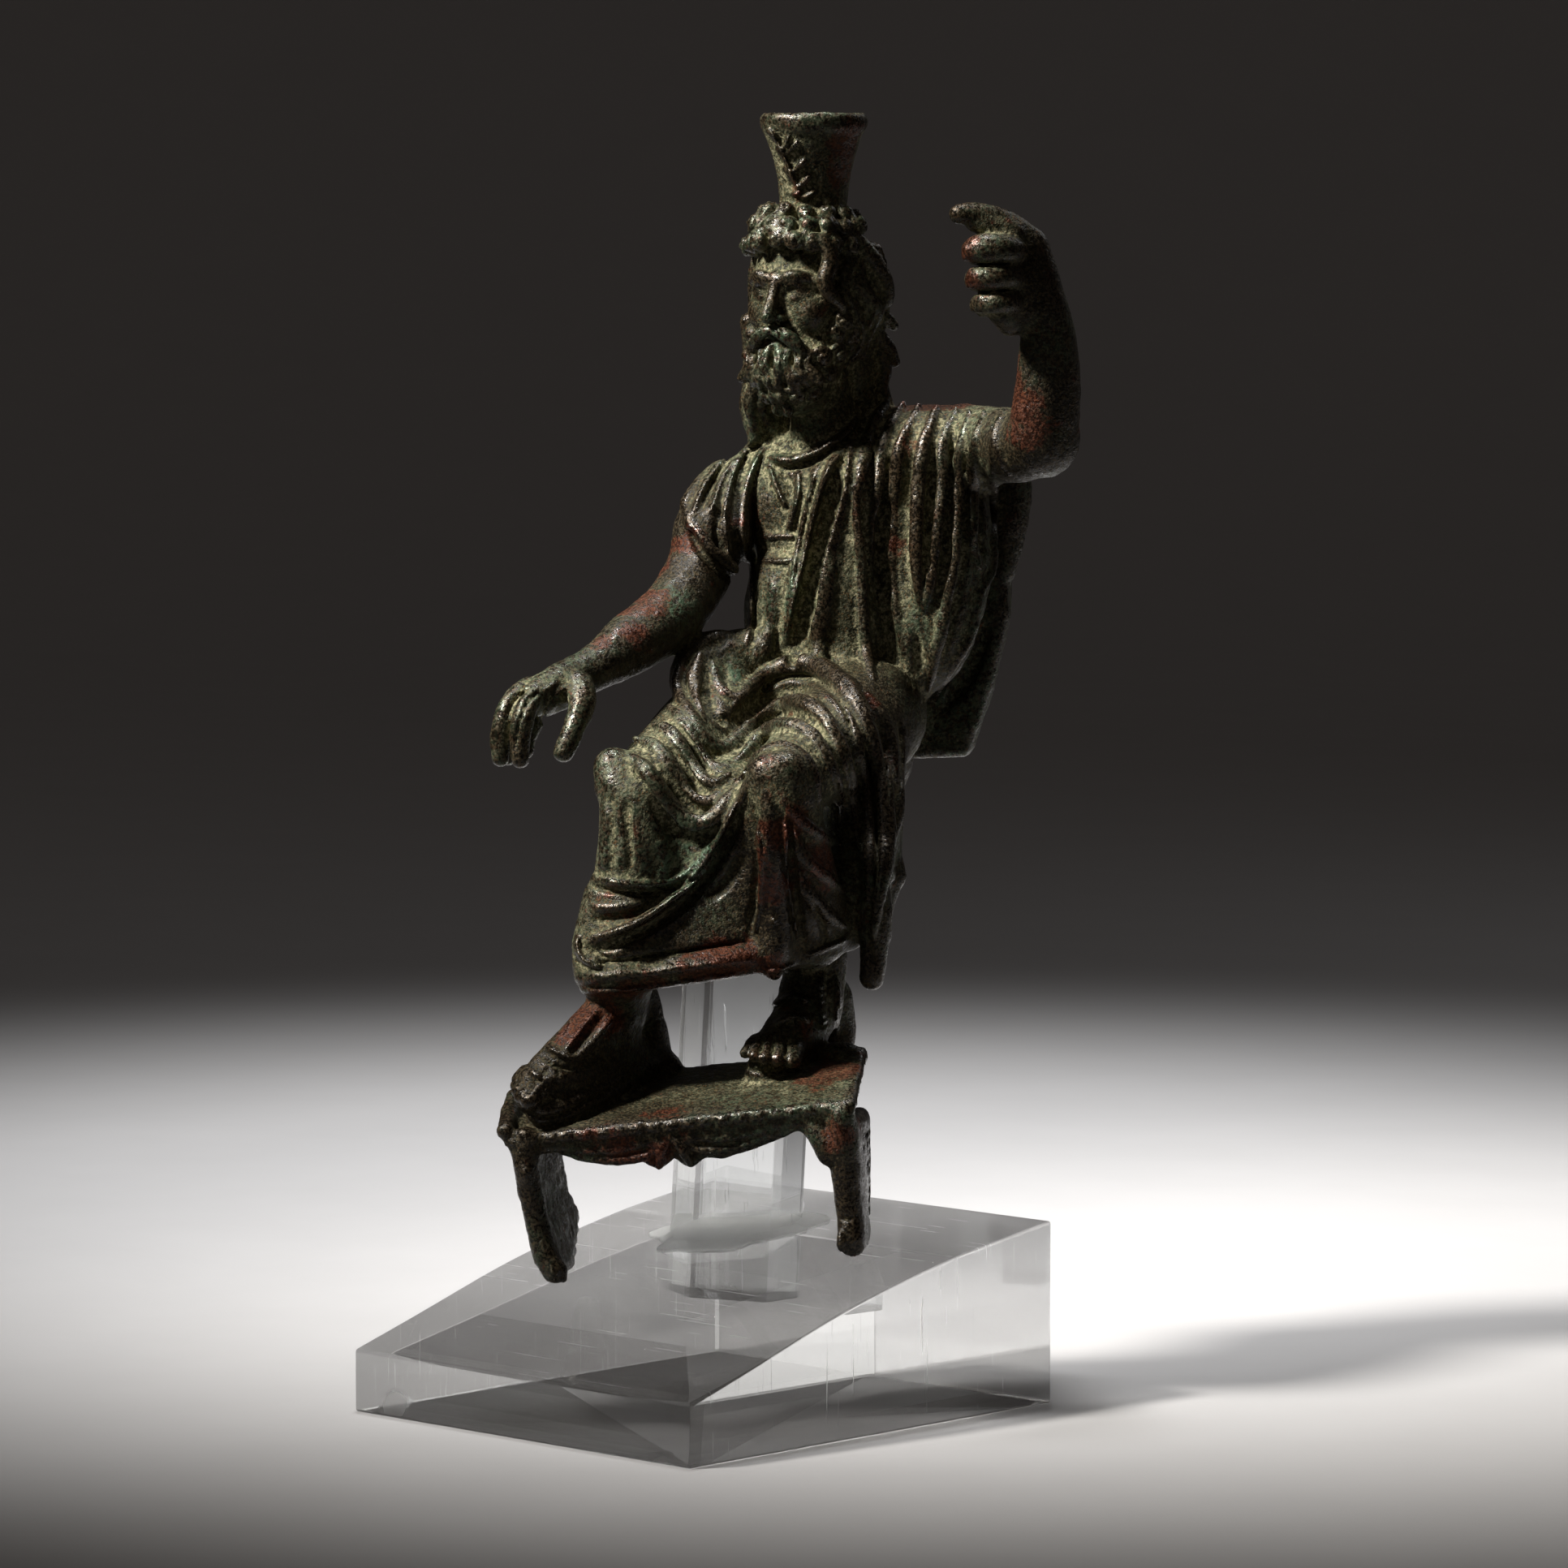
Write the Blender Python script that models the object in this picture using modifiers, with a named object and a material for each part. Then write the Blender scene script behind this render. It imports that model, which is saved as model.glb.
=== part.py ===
"""Seated bearded god with a tall turned headdress, cast in bronze with his footstool,
held by a clear acrylic post on a clear acrylic wedge block.

Metres in the file, millimetres in the sizes below. +Z is up and -Y is the front of the block.
The figure is laid out in its own frame (X across, Y back, Z up from the table), then turned
on the block by FIGURE_YAW and set down at FIGURE_AT.
"""
import bpy
import bmesh
import math
from mathutils import Vector, Matrix
from mathutils.bvhtree import BVHTree

MM = 0.001

# ---- block and post -------------------------------------------------------------------
BLOCK_W, BLOCK_D = 68.0, 75.0              # width (X) and depth (Y) of the wedge block
BLOCK_TOP = ((-37.5, 9.1), (-26.0, 12.6), (-9.0, 17.9), (2.5, 20.8),
             (16.0, 23.6), (27.0, 25.3), (37.5, 26.8))   # rounded slope, (y, height)
POST_W, POST_FLAT, POST_D = 19.5, 11.5, 13.5   # six-sided bar: overall width, front flat, depth
POST_FOOT = (-7.4, 20.6)                   # where the post stands, in the figure's frame
POST_LEAN = 2.9                            # degrees, to the figure's left going up
POST_YAW = -6.0                            # degrees, front flat against the figure's frame
POST_TOP_Z = 91.0
GAP = 0.3                                  # between touching pieces

# ---- figure ---------------------------------------------------------------------------
FIGURE_YAW = 43.8                          # degrees, figure's frame against the block
FIGURE_AT = (10.8, 5.5, 0.0)
VOXEL = 0.62
KEEP_TRIS = 9000

NECK = (6.3, 42.0, 137.5)
PELVIS = (6.0, 38.0, 98.5)
WAIST = (4.6, 39.5, 113.0)
CHEST = (8.2, 43.0, 127.5)
HIP_R, HIP_L = (-7.0, 38.0, 97.0), (13.5, 33.0, 97.5)
KNEE_R, KNEE_L = (-19.8, 7.0, 89.5), (-0.2, 0.5, 89.0)
ANKLE_R, ANKLE_L = (-25.5, 5.5, 59.5), (4.6, 13.0, 61.0)
SHOULDER_R, SHOULDER_L = (-4.2, 46.0, 131.0), (26.5, 39.0, 134.5)
ELBOW_R, WRIST_R = (-16.6, 33.0, 113.2), (-28.8, 17.0, 104.2)
ELBOW_L, WRIST_L = (38.2, 18.5, 136.2), (37.9, 13.0, 157.0)
HEAD = (5.2, 40.0, 159.5)
HEAD_TURN = 34.0                           # degrees, face against the figure's frame
HEM_Z = 61.5                               # skirt hem over the right ankle
CUP = ((0.0, 169.0), (5.0, 169.0), (4.75, 173.0), (5.0, 177.0), (5.7, 180.5), (6.9, 183.8),
       (7.7, 185.2), (7.9, 186.3), (7.6, 187.3), (6.8, 187.6), (6.3, 186.8), (5.9, 185.6), (0.0, 185.4))
CUP_AT = (4.5, 38.5)
STOOL_W, STOOL_D, STOOL_T, STOOL_H = 50.4, 22.5, 2.6, 21.6
STOOL_TOP = (-14.2, 2.0, 46.2)             # middle of the stool's top
STOOL_X, STOOL_Y = (50.8, -6.0, 6.2), (1.5, 22.0, 5.0)   # directions along its width and depth


for old in list(bpy.data.objects):
    bpy.data.objects.remove(old)

part = bpy.data.collections.new("serapis_figure")
bpy.context.scene.collection.children.link(part)


def material(name, colour, metallic, rough, alpha=1.0):
    mat = bpy.data.materials.new(name)
    mat.use_nodes = True
    b = mat.node_tree.nodes["Principled BSDF"]
    b.inputs["Base Color"].default_value = (*colour, 1)
    b.inputs["Metallic"].default_value = metallic
    b.inputs["Roughness"].default_value = rough
    b.inputs["Alpha"].default_value = alpha
    return mat


BRONZE = material("dark_bronze", (0.045, 0.05, 0.035), 0.8, 0.45)
ACRYLIC = material("clear_acrylic", (0.93, 0.95, 0.95), 0.0, 0.04, 0.35)


# ---- small geometry helpers -----------------------------------------------------------
shapes = []                                # (vertices, faces) lists in figure millimetres


def V(p):
    return Vector(p)


def mix(a, b, t):
    return V(a) * (1 - t) + V(b) * t


def smooth_path(points, steps=5):
    """Rounded path through the given points."""
    p = [V(q) for q in points]
    p = [p[0] * 2 - p[1]] + p + [p[-1] * 2 - p[-2]]
    out = []
    for i in range(1, len(p) - 2):
        for k in range(steps):
            t = k / steps
            out.append(0.5 * ((2 * p[i]) + (p[i + 1] - p[i - 1]) * t
                              + (2 * p[i - 1] - 5 * p[i] + 4 * p[i + 1] - p[i + 2]) * t * t
                              + (3 * p[i] - p[i - 1] - 3 * p[i + 1] + p[i + 2]) * t ** 3))
    out.append(p[-2])
    return out


def spread(values, n):
    """n values eased along a short list of key values."""
    out = []
    for i in range(n):
        t = i / (n - 1) * (len(values) - 1)
        k = min(int(t), len(values) - 2)
        f = t - k
        f = f * f * (3 - 2 * f)
        out.append(values[k] * (1 - f) + values[k + 1] * f)
    return out


def keep(mesh, matrix=None):
    bm = bmesh.new()
    bm.from_mesh(mesh)
    bmesh.ops.remove_doubles(bm, verts=bm.verts, dist=1e-4)
    if matrix is not None:
        bmesh.ops.transform(bm, matrix=matrix, verts=bm.verts)
    bmesh.ops.recalc_face_normals(bm, faces=bm.faces)
    bm.verts.index_update()
    shapes.append(([v.co.copy() for v in bm.verts], [[v.index for v in f.verts] for f in bm.faces]))
    bm.free()


def tube(points, radii, flat=1.0, steps=5):
    """Rounded limb, lock or fold along a path with the radius eased from key to key."""
    path = smooth_path(points, steps)
    rad = spread(radii, len(path))
    curve = bpy.data.curves.new("limb", "CURVE")
    curve.dimensions = "3D"
    curve.bevel_depth = 1.0
    curve.bevel_resolution = 2
    curve.use_fill_caps = True
    s = curve.splines.new("POLY")
    s.points.add(len(path) - 1)
    for q, co, r in zip(s.points, path, rad):
        q.co = (*co, 1)
        q.radius = r
    ob = bpy.data.objects.new("limb", curve)
    part.objects.link(ob)
    bpy.context.view_layer.update()
    mesh = bpy.data.meshes.new_from_object(ob.evaluated_get(bpy.context.evaluated_depsgraph_get()))
    keep(mesh)
    bpy.data.objects.remove(ob)
    for q, r in ((path[0], rad[0]), (path[-1], rad[-1])):
        ball(q, (r, r, r), n=8)


def turn(deg=(0, 0, 0)):
    rx, ry, rz = (math.radians(a) for a in deg)
    return Matrix.Rotation(rz, 4, "Z") @ Matrix.Rotation(ry, 4, "Y") @ Matrix.Rotation(rx, 4, "X")


def ball(at, radii, rot=(0, 0, 0), n=14):
    bm = bmesh.new()
    bmesh.ops.create_uvsphere(bm, u_segments=2 * n, v_segments=n, radius=1.0)
    mesh = bpy.data.meshes.new("ball")
    bm.to_mesh(mesh)
    bm.free()
    keep(mesh, Matrix.Translation(V(at)) @ turn(rot) @ Matrix.Diagonal((*radii, 1)))


def plate(outline, y0, y1, matrix=None):
    """Solid cut from an (x, z) outline, y0 to y1 deep."""
    mesh = bpy.data.meshes.new("plate")
    n = len(outline)
    verts = [(x, y, z) for y in (y0, y1) for x, z in outline]
    faces = [list(range(n))[::-1], [n + i for i in range(n)]]
    faces += [[i, (i + 1) % n, n + (i + 1) % n, n + i] for i in range(n)]
    mesh.from_pydata(verts, [], faces)
    keep(mesh, matrix)


def lathe(profile, at, n=40):
    curve = bpy.data.meshes.new("profile")
    curve.from_pydata([(r, 0, z) for r, z in profile], [(i, i + 1) for i in range(len(profile) - 1)], [])
    ob = bpy.data.objects.new("turned", curve)
    part.objects.link(ob)
    s = ob.modifiers.new("turn", "SCREW")
    s.steps = s.render_steps = n
    s.use_merge_vertices = True
    s.merge_threshold = 0.0001
    bpy.context.view_layer.update()
    mesh = bpy.data.meshes.new_from_object(ob.evaluated_get(bpy.context.evaluated_depsgraph_get()))
    keep(mesh, Matrix.Translation((at[0], at[1], 0)))
    bpy.data.objects.remove(ob)


def fused(name, voxel, tris=None, soften=2):
    """The shapes so far as one skin, in millimetres."""
    verts, faces = [], []
    for vs, fs in shapes:
        k = len(verts)
        verts += vs
        faces += [[i + k for i in f] for f in fs]
    mesh = bpy.data.meshes.new(name)
    mesh.from_pydata(verts, [], faces)
    ob = bpy.data.objects.new(name, mesh)
    part.objects.link(ob)
    m = ob.modifiers.new("skin", "REMESH")
    m.mode = "VOXEL"
    m.voxel_size = voxel
    if soften:
        m = ob.modifiers.new("soften", "SMOOTH")
        m.factor = 0.5
        m.iterations = soften
    bpy.context.view_layer.update()
    deps = bpy.context.evaluated_depsgraph_get()
    if tris:
        count = sum(len(p.vertices) - 2 for p in ob.evaluated_get(deps).data.polygons)
        m = ob.modifiers.new("thin_out", "DECIMATE")
        m.ratio = min(1.0, tris / count)
        bpy.context.view_layer.update()
        deps = bpy.context.evaluated_depsgraph_get()
    out = bpy.data.meshes.new_from_object(ob.evaluated_get(deps))
    bpy.data.objects.remove(ob)
    return out


# ---- footstool ------------------------------------------------------------------------
ex = V(STOOL_X).normalized()
ez = ex.cross(V(STOOL_Y)).normalized()
ey = ez.cross(ex)
STOOL = Matrix.Translation(V(STOOL_TOP)) @ Matrix((ex, ey, ez)).transposed().to_4x4()
hw, hd = STOOL_W / 2, STOOL_D / 2
plate([(-hw, 0), (-hw, -STOOL_T), (hw, -STOOL_T), (hw, 0)], -hd, hd, STOOL)
teeth = 20
for i in range(teeth):                     # notched front edge
    x = -hw + STOOL_W * (i + 0.5) / teeth
    w = STOOL_W / teeth * 0.38
    plate([(x - w, 0.25), (x - w, -1.2), (x + w, -1.2), (x + w, 0.25)], -hd - 0.5, -hd + 1.5, STOOL)


def apron(n=40):
    """Scalloped lower edge: long dips to either side and two pendants in the middle."""
    low = []
    for i in range(n + 1):
        x = -hw + 2 + (STOOL_W - 4) * i / n
        u = (x + 1.2) / (hw - 2)
        dip = 3.4 * math.cos(u * math.pi * 0.5) ** 0.7 if abs(u) < 1 else 0.0
        bump = 1.6 * math.exp(-((abs(x + 1.2) - 2.4) / 1.3) ** 2) - 1.2 * math.exp(-((x + 1.2) / 0.7) ** 2)
        low.append((x, -STOOL_T - 0.4 - dip - bump))
    return [(-hw + 2, -STOOL_T + 0.5)] + low + [(hw - 2, -STOOL_T + 0.5)]


plate(apron(), -hd + 0.3, -hd + 2.3, STOOL)


def leg(side):
    """End board of the stool, narrowing to a curved leg with a knob and a small foot."""
    x = side * (hw - 2.0)
    bow = -side * 1.0
    keys = ((0.0, 2.4, hd), (0.25, 2.6, hd * 0.75), (0.5, 2.5, hd * 0.5), (0.75, 2.3, hd * 0.36), (1.0, 1.6, hd * 0.24))
    for (t0, w0, d0), (t1, w1, d1) in zip(keys, keys[1:]):
        for k in range(4):
            t = t0 + (t1 - t0) * (k + 0.5) / 4
            f = (k + 0.5) / 4
            w, d = w0 + (w1 - w0) * f, d0 + (d1 - d0) * f
            cx = x + bow * 2.2 * t * t + side * 0.9 * math.sin(t * math.pi)
            zt = -STOOL_T - (STOOL_H - STOOL_T) * t
            ball(STOOL @ V((cx, -hd + d + 0.4, zt)), (w, d, 2.0), (12.5, 0, -7), n=8)
    tip = x + bow * 2.4
    ball(STOOL @ V((tip, -hd + 2.2, -STOOL_H + 0.6)), (1.9, 2.4, 1.7), n=8)
    ball(STOOL @ V((x + side * 0.2, -hd + 0.8, -7.2)), (1.5, 1.2, 1.5), n=8)


leg(-1)
leg(1)


def stool_point(p):
    """Foot of p on the stool's top plane."""
    local = STOOL.inverted() @ V(p)
    return STOOL @ V((local.x, local.y, 0.0))


# ---- feet -----------------------------------------------------------------------------
def foot(heel, toe, wide, ankle, lift=0.0):
    h, t = stool_point(heel) + V((0, 0, lift)), stool_point(toe)
    along = (t - h).normalized()
    side = along.cross(ez).normalized()
    up = ez
    tube([h + up * 3.4, mix(h, t, 0.45) + up * 3.6, mix(h, t, 0.8) + up * 2.6, t + up * 1.9], (3.6, 3.7, 3.3, 2.0))
    tube([V(ankle) + V((0, 0, 6)), ankle, mix(h, t, 0.28) + up * 4.4], (4.2, 3.9, 3.9))
    ball(mix(h, t, 0.72) + up * 2.1, (wide, wide, 2.2))
    for i in range(5):                     # toes, the great toe the longest
        k = (i - 2) / 2
        reach = (1.9, 1.7, 1.2, 0.5, -0.5)[i] if wide > 0 else 0
        root = mix(h, t, 0.8) + side * (k * 3.2) + up * 1.9
        tube([root, t + side * (k * 3.5) + along * reach + up * 1.5], (1.25, 1.15 if i else 1.5))
    tube([mix(h, t, 0.1) + up * 0.7, mix(h, t, 0.95) + up * 0.7], (3.4, 3.6), steps=3)
    for f in (0.55, 0.75):                 # sandal straps across the instep
        m = mix(h, t, f) + up * (4.9 - 2.4 * f)
        tube([m - side * 3.4 - up * 1.4, m + up * 1.5, m + side * 3.4 - up * 1.4], (0.8, 0.9, 0.8))


foot((-18.2, 11.5, 0), (-31.8, -1.5, 0), 4.0, ANKLE_R)
foot((7.5, 20.0, 0), (0.6, 4.0, 0), 3.8, ANKLE_L, 2.6)
tube([(-19.5, 12.0, 59.0), (-18.5, 11.5, 49.5)], (3.2, 3.6))   # solid web behind the right heel
tube([(10.0, 11.5, 56.0), (9.0, 9.5, 50.5)], (3.0, 3.0))        # lump behind the left foot

# ---- legs and skirt -------------------------------------------------------------------
tube([HIP_R, mix(HIP_R, KNEE_R, 0.5) + V((0, 0, 1.2)), KNEE_R], (9.5, 8.6, 6.8))
tube([HIP_L, mix(HIP_L, KNEE_L, 0.5) + V((0, 0, 1.0)), KNEE_L], (9.5, 8.6, 6.8))
tube([(3.0, 36.0, 95.0), (-6.0, 22.0, 93.0), (-10.5, 7.0, 87.0)], (8.0, 6.0, 4.5))   # cloth across the lap
tube([KNEE_R, (-22.5, 5.5, 75.0), (-24.3, 5.5, HEM_Z + 5), (-24.6, 5.0, HEM_Z + 0.4)], (6.6, 6.0, 5.8, 6.0))
tube([KNEE_L, (1.8, 4.0, 76.0), (4.6, 7.5, 68.5)], (6.8, 6.8, 6.6))
rows = 6
for i in range(rows):                      # skirt hung between the shins
    t = (i + 0.5) / rows
    top = mix(KNEE_R, KNEE_L, t) + V((0, 1.5, -3.5 - 4 * math.sin(t * math.pi)))
    low = mix((-22.5, 5.0, HEM_Z + 2), (3.0, 6.5, 67.0), t) + V((0, -1.0 * math.sin(t * math.pi), 0))
    tube([top, mix(top, low, 0.5) + V((0, 1.0, 0)), low], (5.4, 4.9, 4.7))
tube([(-27.0, 4.0, HEM_Z + 0.6), (-15.0, 1.8, HEM_Z + 0.9), (-4.0, 1.5, HEM_Z + 2.6), (8.0, 4.8, 66.5)], (3.4, 3.0, 3.0, 2.6))
tube([(14.0, 26.0, 93.0), (13.2, 14.0, 87.0), (12.2, 9.5, 76.0), (11.5, 8.0, 68.0)], (5.2, 5.2, 4.4, 3.6))   # side fall
tube([(11.8, 9.0, 72.0), (12.2, 7.5, 66.0), (12.4, 7.0, 62.2)], (2.8, 2.4, 1.4))                             # its tail

# ---- body -----------------------------------------------------------------------------
ball(PELVIS, (15.5, 11.0, 10.0), (0, 0, -20))
ball(WAIST, (12.5, 9.2, 14.0), (0, 4, -14))
ball(CHEST, (15.2, 9.6, 13.0), (0, 6, -10))
ball((11.0, 47.0, 114.0), (15.0, 7.0, 20.0))                    # mantle over the back
tube([SHOULDER_R, (3.0, 45.5, 135.5), (16.0, 43.0, 136.0), SHOULDER_L], (6.2, 5.2, 5.6, 6.6))
tube([NECK, (5.2, 39.5, 150.0)], (5.0, 4.6))
tube([(22.5, 38.5, 133.0), (23.5, 37.0, 120.0), (21.5, 36.0, 108.0), (19.5, 35.5, 103.5)], (8.2, 8.4, 6.2, 3.6))
# flat mantle board hanging behind the left side, cut square where the seat was
plate([(8.0, 92.0), (26.5, 91.4), (28.3, 99.0), (31.0, 107.5), (33.2, 119.0), (34.6, 123.5),
       (36.0, 128.5), (33.0, 133.0), (6.0, 136.0), (-4.0, 133.0), (-3.0, 112.0), (0.0, 96.0)], 44.0, 50.5,
      Matrix.Translation((20.0, 46.0, 0)) @ turn((0, 0, -11)) @ Matrix.Translation((-20.0, -46.0, 0)))
ball((9.0, 45.0, 98.0), (13.0, 8.0, 8.0))
ball((-9.6, 33.5, 101.5), (5.2, 6.5, 7.2), (0, 12, 0))          # cloth gathered at the right hip

# ---- arms and hands -------------------------------------------------------------------
tube([SHOULDER_R, mix(SHOULDER_R, ELBOW_R, 0.5) + V((-0.4, 0, 0.3)), ELBOW_R, mix(ELBOW_R, WRIST_R, 0.4) + V((0, 0, 0.6)), WRIST_R],
     (5.6, 4.9, 4.4, 4.3, 2.9))
tube([SHOULDER_R, mix(SHOULDER_R, ELBOW_R, 0.3), mix(SHOULDER_R, ELBOW_R, 0.42)], (5.8, 6.4, 6.9))  # short sleeve
tube([SHOULDER_L, mix(SHOULDER_L, ELBOW_L, 0.55), ELBOW_L], (6.6, 5.4, 4.5))
tube([ELBOW_L, (38.9, 15.8, 145.5), WRIST_L], (4.5, 4.8, 3.1))


def right_hand():
    """Lowered, palm down, the fingers bent over."""
    palm = V((-34.0, 11.5, 103.2))
    tube([WRIST_R, palm, (-37.0, 8.5, 102.4)], (2.9, 3.3, 2.9))
    for i in range(4):
        root = V((-38.6 + 1.5 * i, 10.8 - 2.4 * i, 102.2 - 0.1 * i))
        tube([palm + V((-1.0 + 0.4 * i, 0.8 - 0.9 * i, -0.3)), root, root + V((-1.8, -1.0, -4.2)), root + V((-1.1, -0.6, -8.0 + 0.2 * i))],
             (2.0, 1.55, 1.4, 1.15))
    tube([palm + V((2.5, 0.5, -1.5)), (-30.8, 7.6, 99.0), (-31.4, 6.0, 94.9)], (2.0, 1.5, 1.15))


def left_hand():
    """Raised, closed round a lost shaft, the forefinger laid over the top."""
    tube([WRIST_L, (37.6, 12.3, 161.5), (36.0, 11.6, 167.0)], (3.2, 3.9, 3.2))
    for i in range(3):
        z = 167.6 - 3.2 * i
        tube([(36.5, 10.0, z + 0.6), (31.0, 7.0, z), (27.4 + 0.5 * i, 8.2, z - 0.4), (28.6 + 0.5 * i, 11.0, z - 0.4)],
             (2.1, 1.8, 1.7, 1.3))
    tube([(37.6, 12.0, 166.0), (35.4, 10.4, 170.6), (31.0, 8.6, 172.5), (25.2, 7.4, 172.8)], (2.4, 1.9, 1.6, 1.3))


right_hand()
left_hand()

# ---- head -----------------------------------------------------------------------------
yaw = math.radians(HEAD_TURN)
FACE = Matrix.Translation(V(HEAD)) @ Matrix.Rotation(-yaw, 4, "Z")   # -Y of this frame is where the face looks


def on_head(x, y, z):
    return FACE @ V((x, y, z))


rz = -HEAD_TURN
ball(on_head(0, 0.5, 2.0), (8.2, 9.4, 9.0), (0, 0, rz))
ball(on_head(0, -3.0, -2.8), (6.2, 5.6, 8.0), (0, 0, rz))
tube([on_head(0, -8.0, 2.2), on_head(0, -9.9, -2.4)], (1.1, 1.35))                       # nose
for s in (-1, 1):
    ball(on_head(1.35 * s, -8.6, -2.7), (1.0, 0.9, 0.8), (0, 0, rz), n=6)
    tube([on_head(0.9 * s, -8.1, 2.2), on_head(3.4 * s, -7.3, 2.7), on_head(5.2 * s, -5.6, 1.8)], (0.7, 0.75, 0.6))
    ball(on_head(2.9 * s, -6.9, 0.7), (1.5, 1.1, 1.0), (0, 0, rz), n=8)                   # eye
    ball(on_head(3.7 * s, -6.3, -2.4), (2.0, 1.6, 1.9), (0, 0, rz), n=8)                  # cheek
    tube([on_head(0.2 * s, -9.0, -4.3), on_head(2.6 * s, -8.3, -5.4), on_head(4.6 * s, -6.4, -7.6)], (0.9, 1.1, 0.8))
ball(on_head(0, -8.1, -5.6), (1.5, 0.9, 0.7), (0, 0, rz), n=8)                            # lower lip
ball(on_head(0, -4.2, -9.4), (7.0, 5.4, 5.8), (0, 0, rz))                                 # beard body
for row in range(4):                       # beard in rows of small curls
    count = 7 - row
    for i in range(count):
        a = math.radians(-78 + 156 * (i + 0.5) / count)
        r = 7.2 - 0.75 * row
        ball(on_head(r * math.sin(a), -3.0 - (6.3 - 0.45 * row) * math.cos(a), -6.6 - 2.5 * row),
             (1.8, 1.7, 1.9), (20, 0, rz + math.degrees(a)), n=7)
for row in range(3):                       # curls piled over the brow, round the crown
    count = 11
    for i in range(count):
        a = math.radians(-115 + 230 * (i + 0.5 * (row % 2)) / (count - 1))
        r = 8.8 - 0.9 * row
        ball(on_head(r * math.sin(a), 0.2 - (r + 0.2) * math.cos(a), 5.0 + 2.3 * row - 0.9 * abs(math.sin(a))),
             (1.9, 1.9, 1.6), n=7)
for s in (-1, 1):                          # long wavy locks at the sides and behind
    for i in range(6):
        a = math.radians(62 + 24 * i)
        r0, r1 = 8.4, 9.6 - 0.45 * i
        drop = 15.0 - 1.0 * abs(i - 1)
        pts = []
        for k in range(6):
            t = k / 5
            w = 0.9 * math.sin(t * math.pi * 2.2 + i)
            r = r0 + (r1 - r0) * t + 2.2 * math.sin(t * math.pi) + w * 0.5
            pts.append(on_head(s * r * math.sin(a) + w * 0.5, -r * math.cos(a), 6.0 - drop * t))
        tube(pts, (1.8, 2.4, 2.2, 1.1), steps=3)
tube([on_head(-5.5, 4.0, -5.0), on_head(-6.5, 5.0, -11.0), on_head(-6.3, 3.6, -17.5)], (2.2, 1.8, 1.2))
tube([on_head(6.5, 4.0, -5.0), on_head(8.0, 4.2, -10.0), on_head(8.2, 3.2, -16.0)], (2.2, 2.0, 1.4))
lathe(CUP, CUP_AT)
for i in range(5):                         # leafy spray up the front of the headdress
    z = 173.0 + 2.1 * i
    r = 5.0 + 0.12 * (z - 173.0) + 0.008 * (z - 173.0) ** 2
    for s in (-1, 1):
        a = math.radians(-34 + 13 * s)
        ball((CUP_AT[0] + r * math.sin(a), CUP_AT[1] - r * math.cos(a), z), (0.9, 0.55, 1.1), (0, 25 * s, -34), n=6)

body = fused("body", VOXEL * 1.2)
tree = BVHTree.FromPolygons([v.co[:] for v in body.vertices], [p.vertices[:] for p in body.polygons])


# ---- drapery folds laid on the body ----------------------------------------------------
def on_front(x, z, sink):
    """Point on the body's front at (x, z), sunk a little."""
    hit, normal, _, _ = tree.ray_cast(V((x, -80.0, z)), V((0, 1, 0)))
    if hit is None:
        hit, normal, _, _ = tree.find_nearest(V((x, 20.0, z)))
    return hit - normal * sink


def fold(anchors, thick, steps=6):
    """A rounded ridge of cloth through the (x, z) anchors, lying on the front of the body."""
    line = smooth_path([(x, 0, z) for x, z in anchors], steps)
    path = [on_front(p.x, p.z, 0.25 * thick) for p in line]
    for k in range(2):                     # ease the path where the ground steps
        path = [path[0]] + [(path[i - 1] + path[i] * 2 + path[i + 1]) / 4 for i in range(1, len(path) - 1)] + [path[-1]]
    tube(path, (thick * 0.6, thick, thick, thick * 0.55), steps=1)


def arc(a, b, sag, n=5):
    """Hanging line between two (x, z) points."""
    return [(a[0] + (b[0] - a[0]) * i / (n - 1),
             a[1] + (b[1] - a[1]) * i / (n - 1) - sag * math.sin(math.pi * i / (n - 1))) for i in range(n)]


pleats = 8
for i in range(pleats):                    # long pleats from the left shoulder
    t = i / (pleats - 1)
    top = (9.5 + 20.0 * t, 139.6 - 1.5 * t - 1.2 * (2 * t - 1) ** 2)
    mid = (7.0 + 23.5 * t, 122.0)
    low = (9.5 + 17.0 * t, 103.5 + 9.0 * t * t)
    fold((top, mix((*top, 0), (*mid, 0), 0.5)[:2], mid, low), 1.45)
for i in range(3):                         # tunic folds from the neck across the breast
    fold(((-5.0 + 2.2 * i, 135.0), (-5.5 + 2.6 * i, 127.0), (-2.5 + 1.6 * i, 117.0), (-3.0 + 2.0 * i, 106.5)), 0.8)
fold(((-6.0, 137.0), (-3.0, 131.5), (2.0, 129.6)), 0.8)           # neckline
fold(((9.0, 137.0), (6.0, 132.0), (2.0, 129.6)), 0.8)
fold(((-6.5, 124.6), (-1.5, 124.4), (4.0, 124.8)), 0.7)           # belt, two turns
fold(((-6.3, 121.6), (-1.5, 121.4), (4.0, 121.8)), 0.7)

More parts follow.
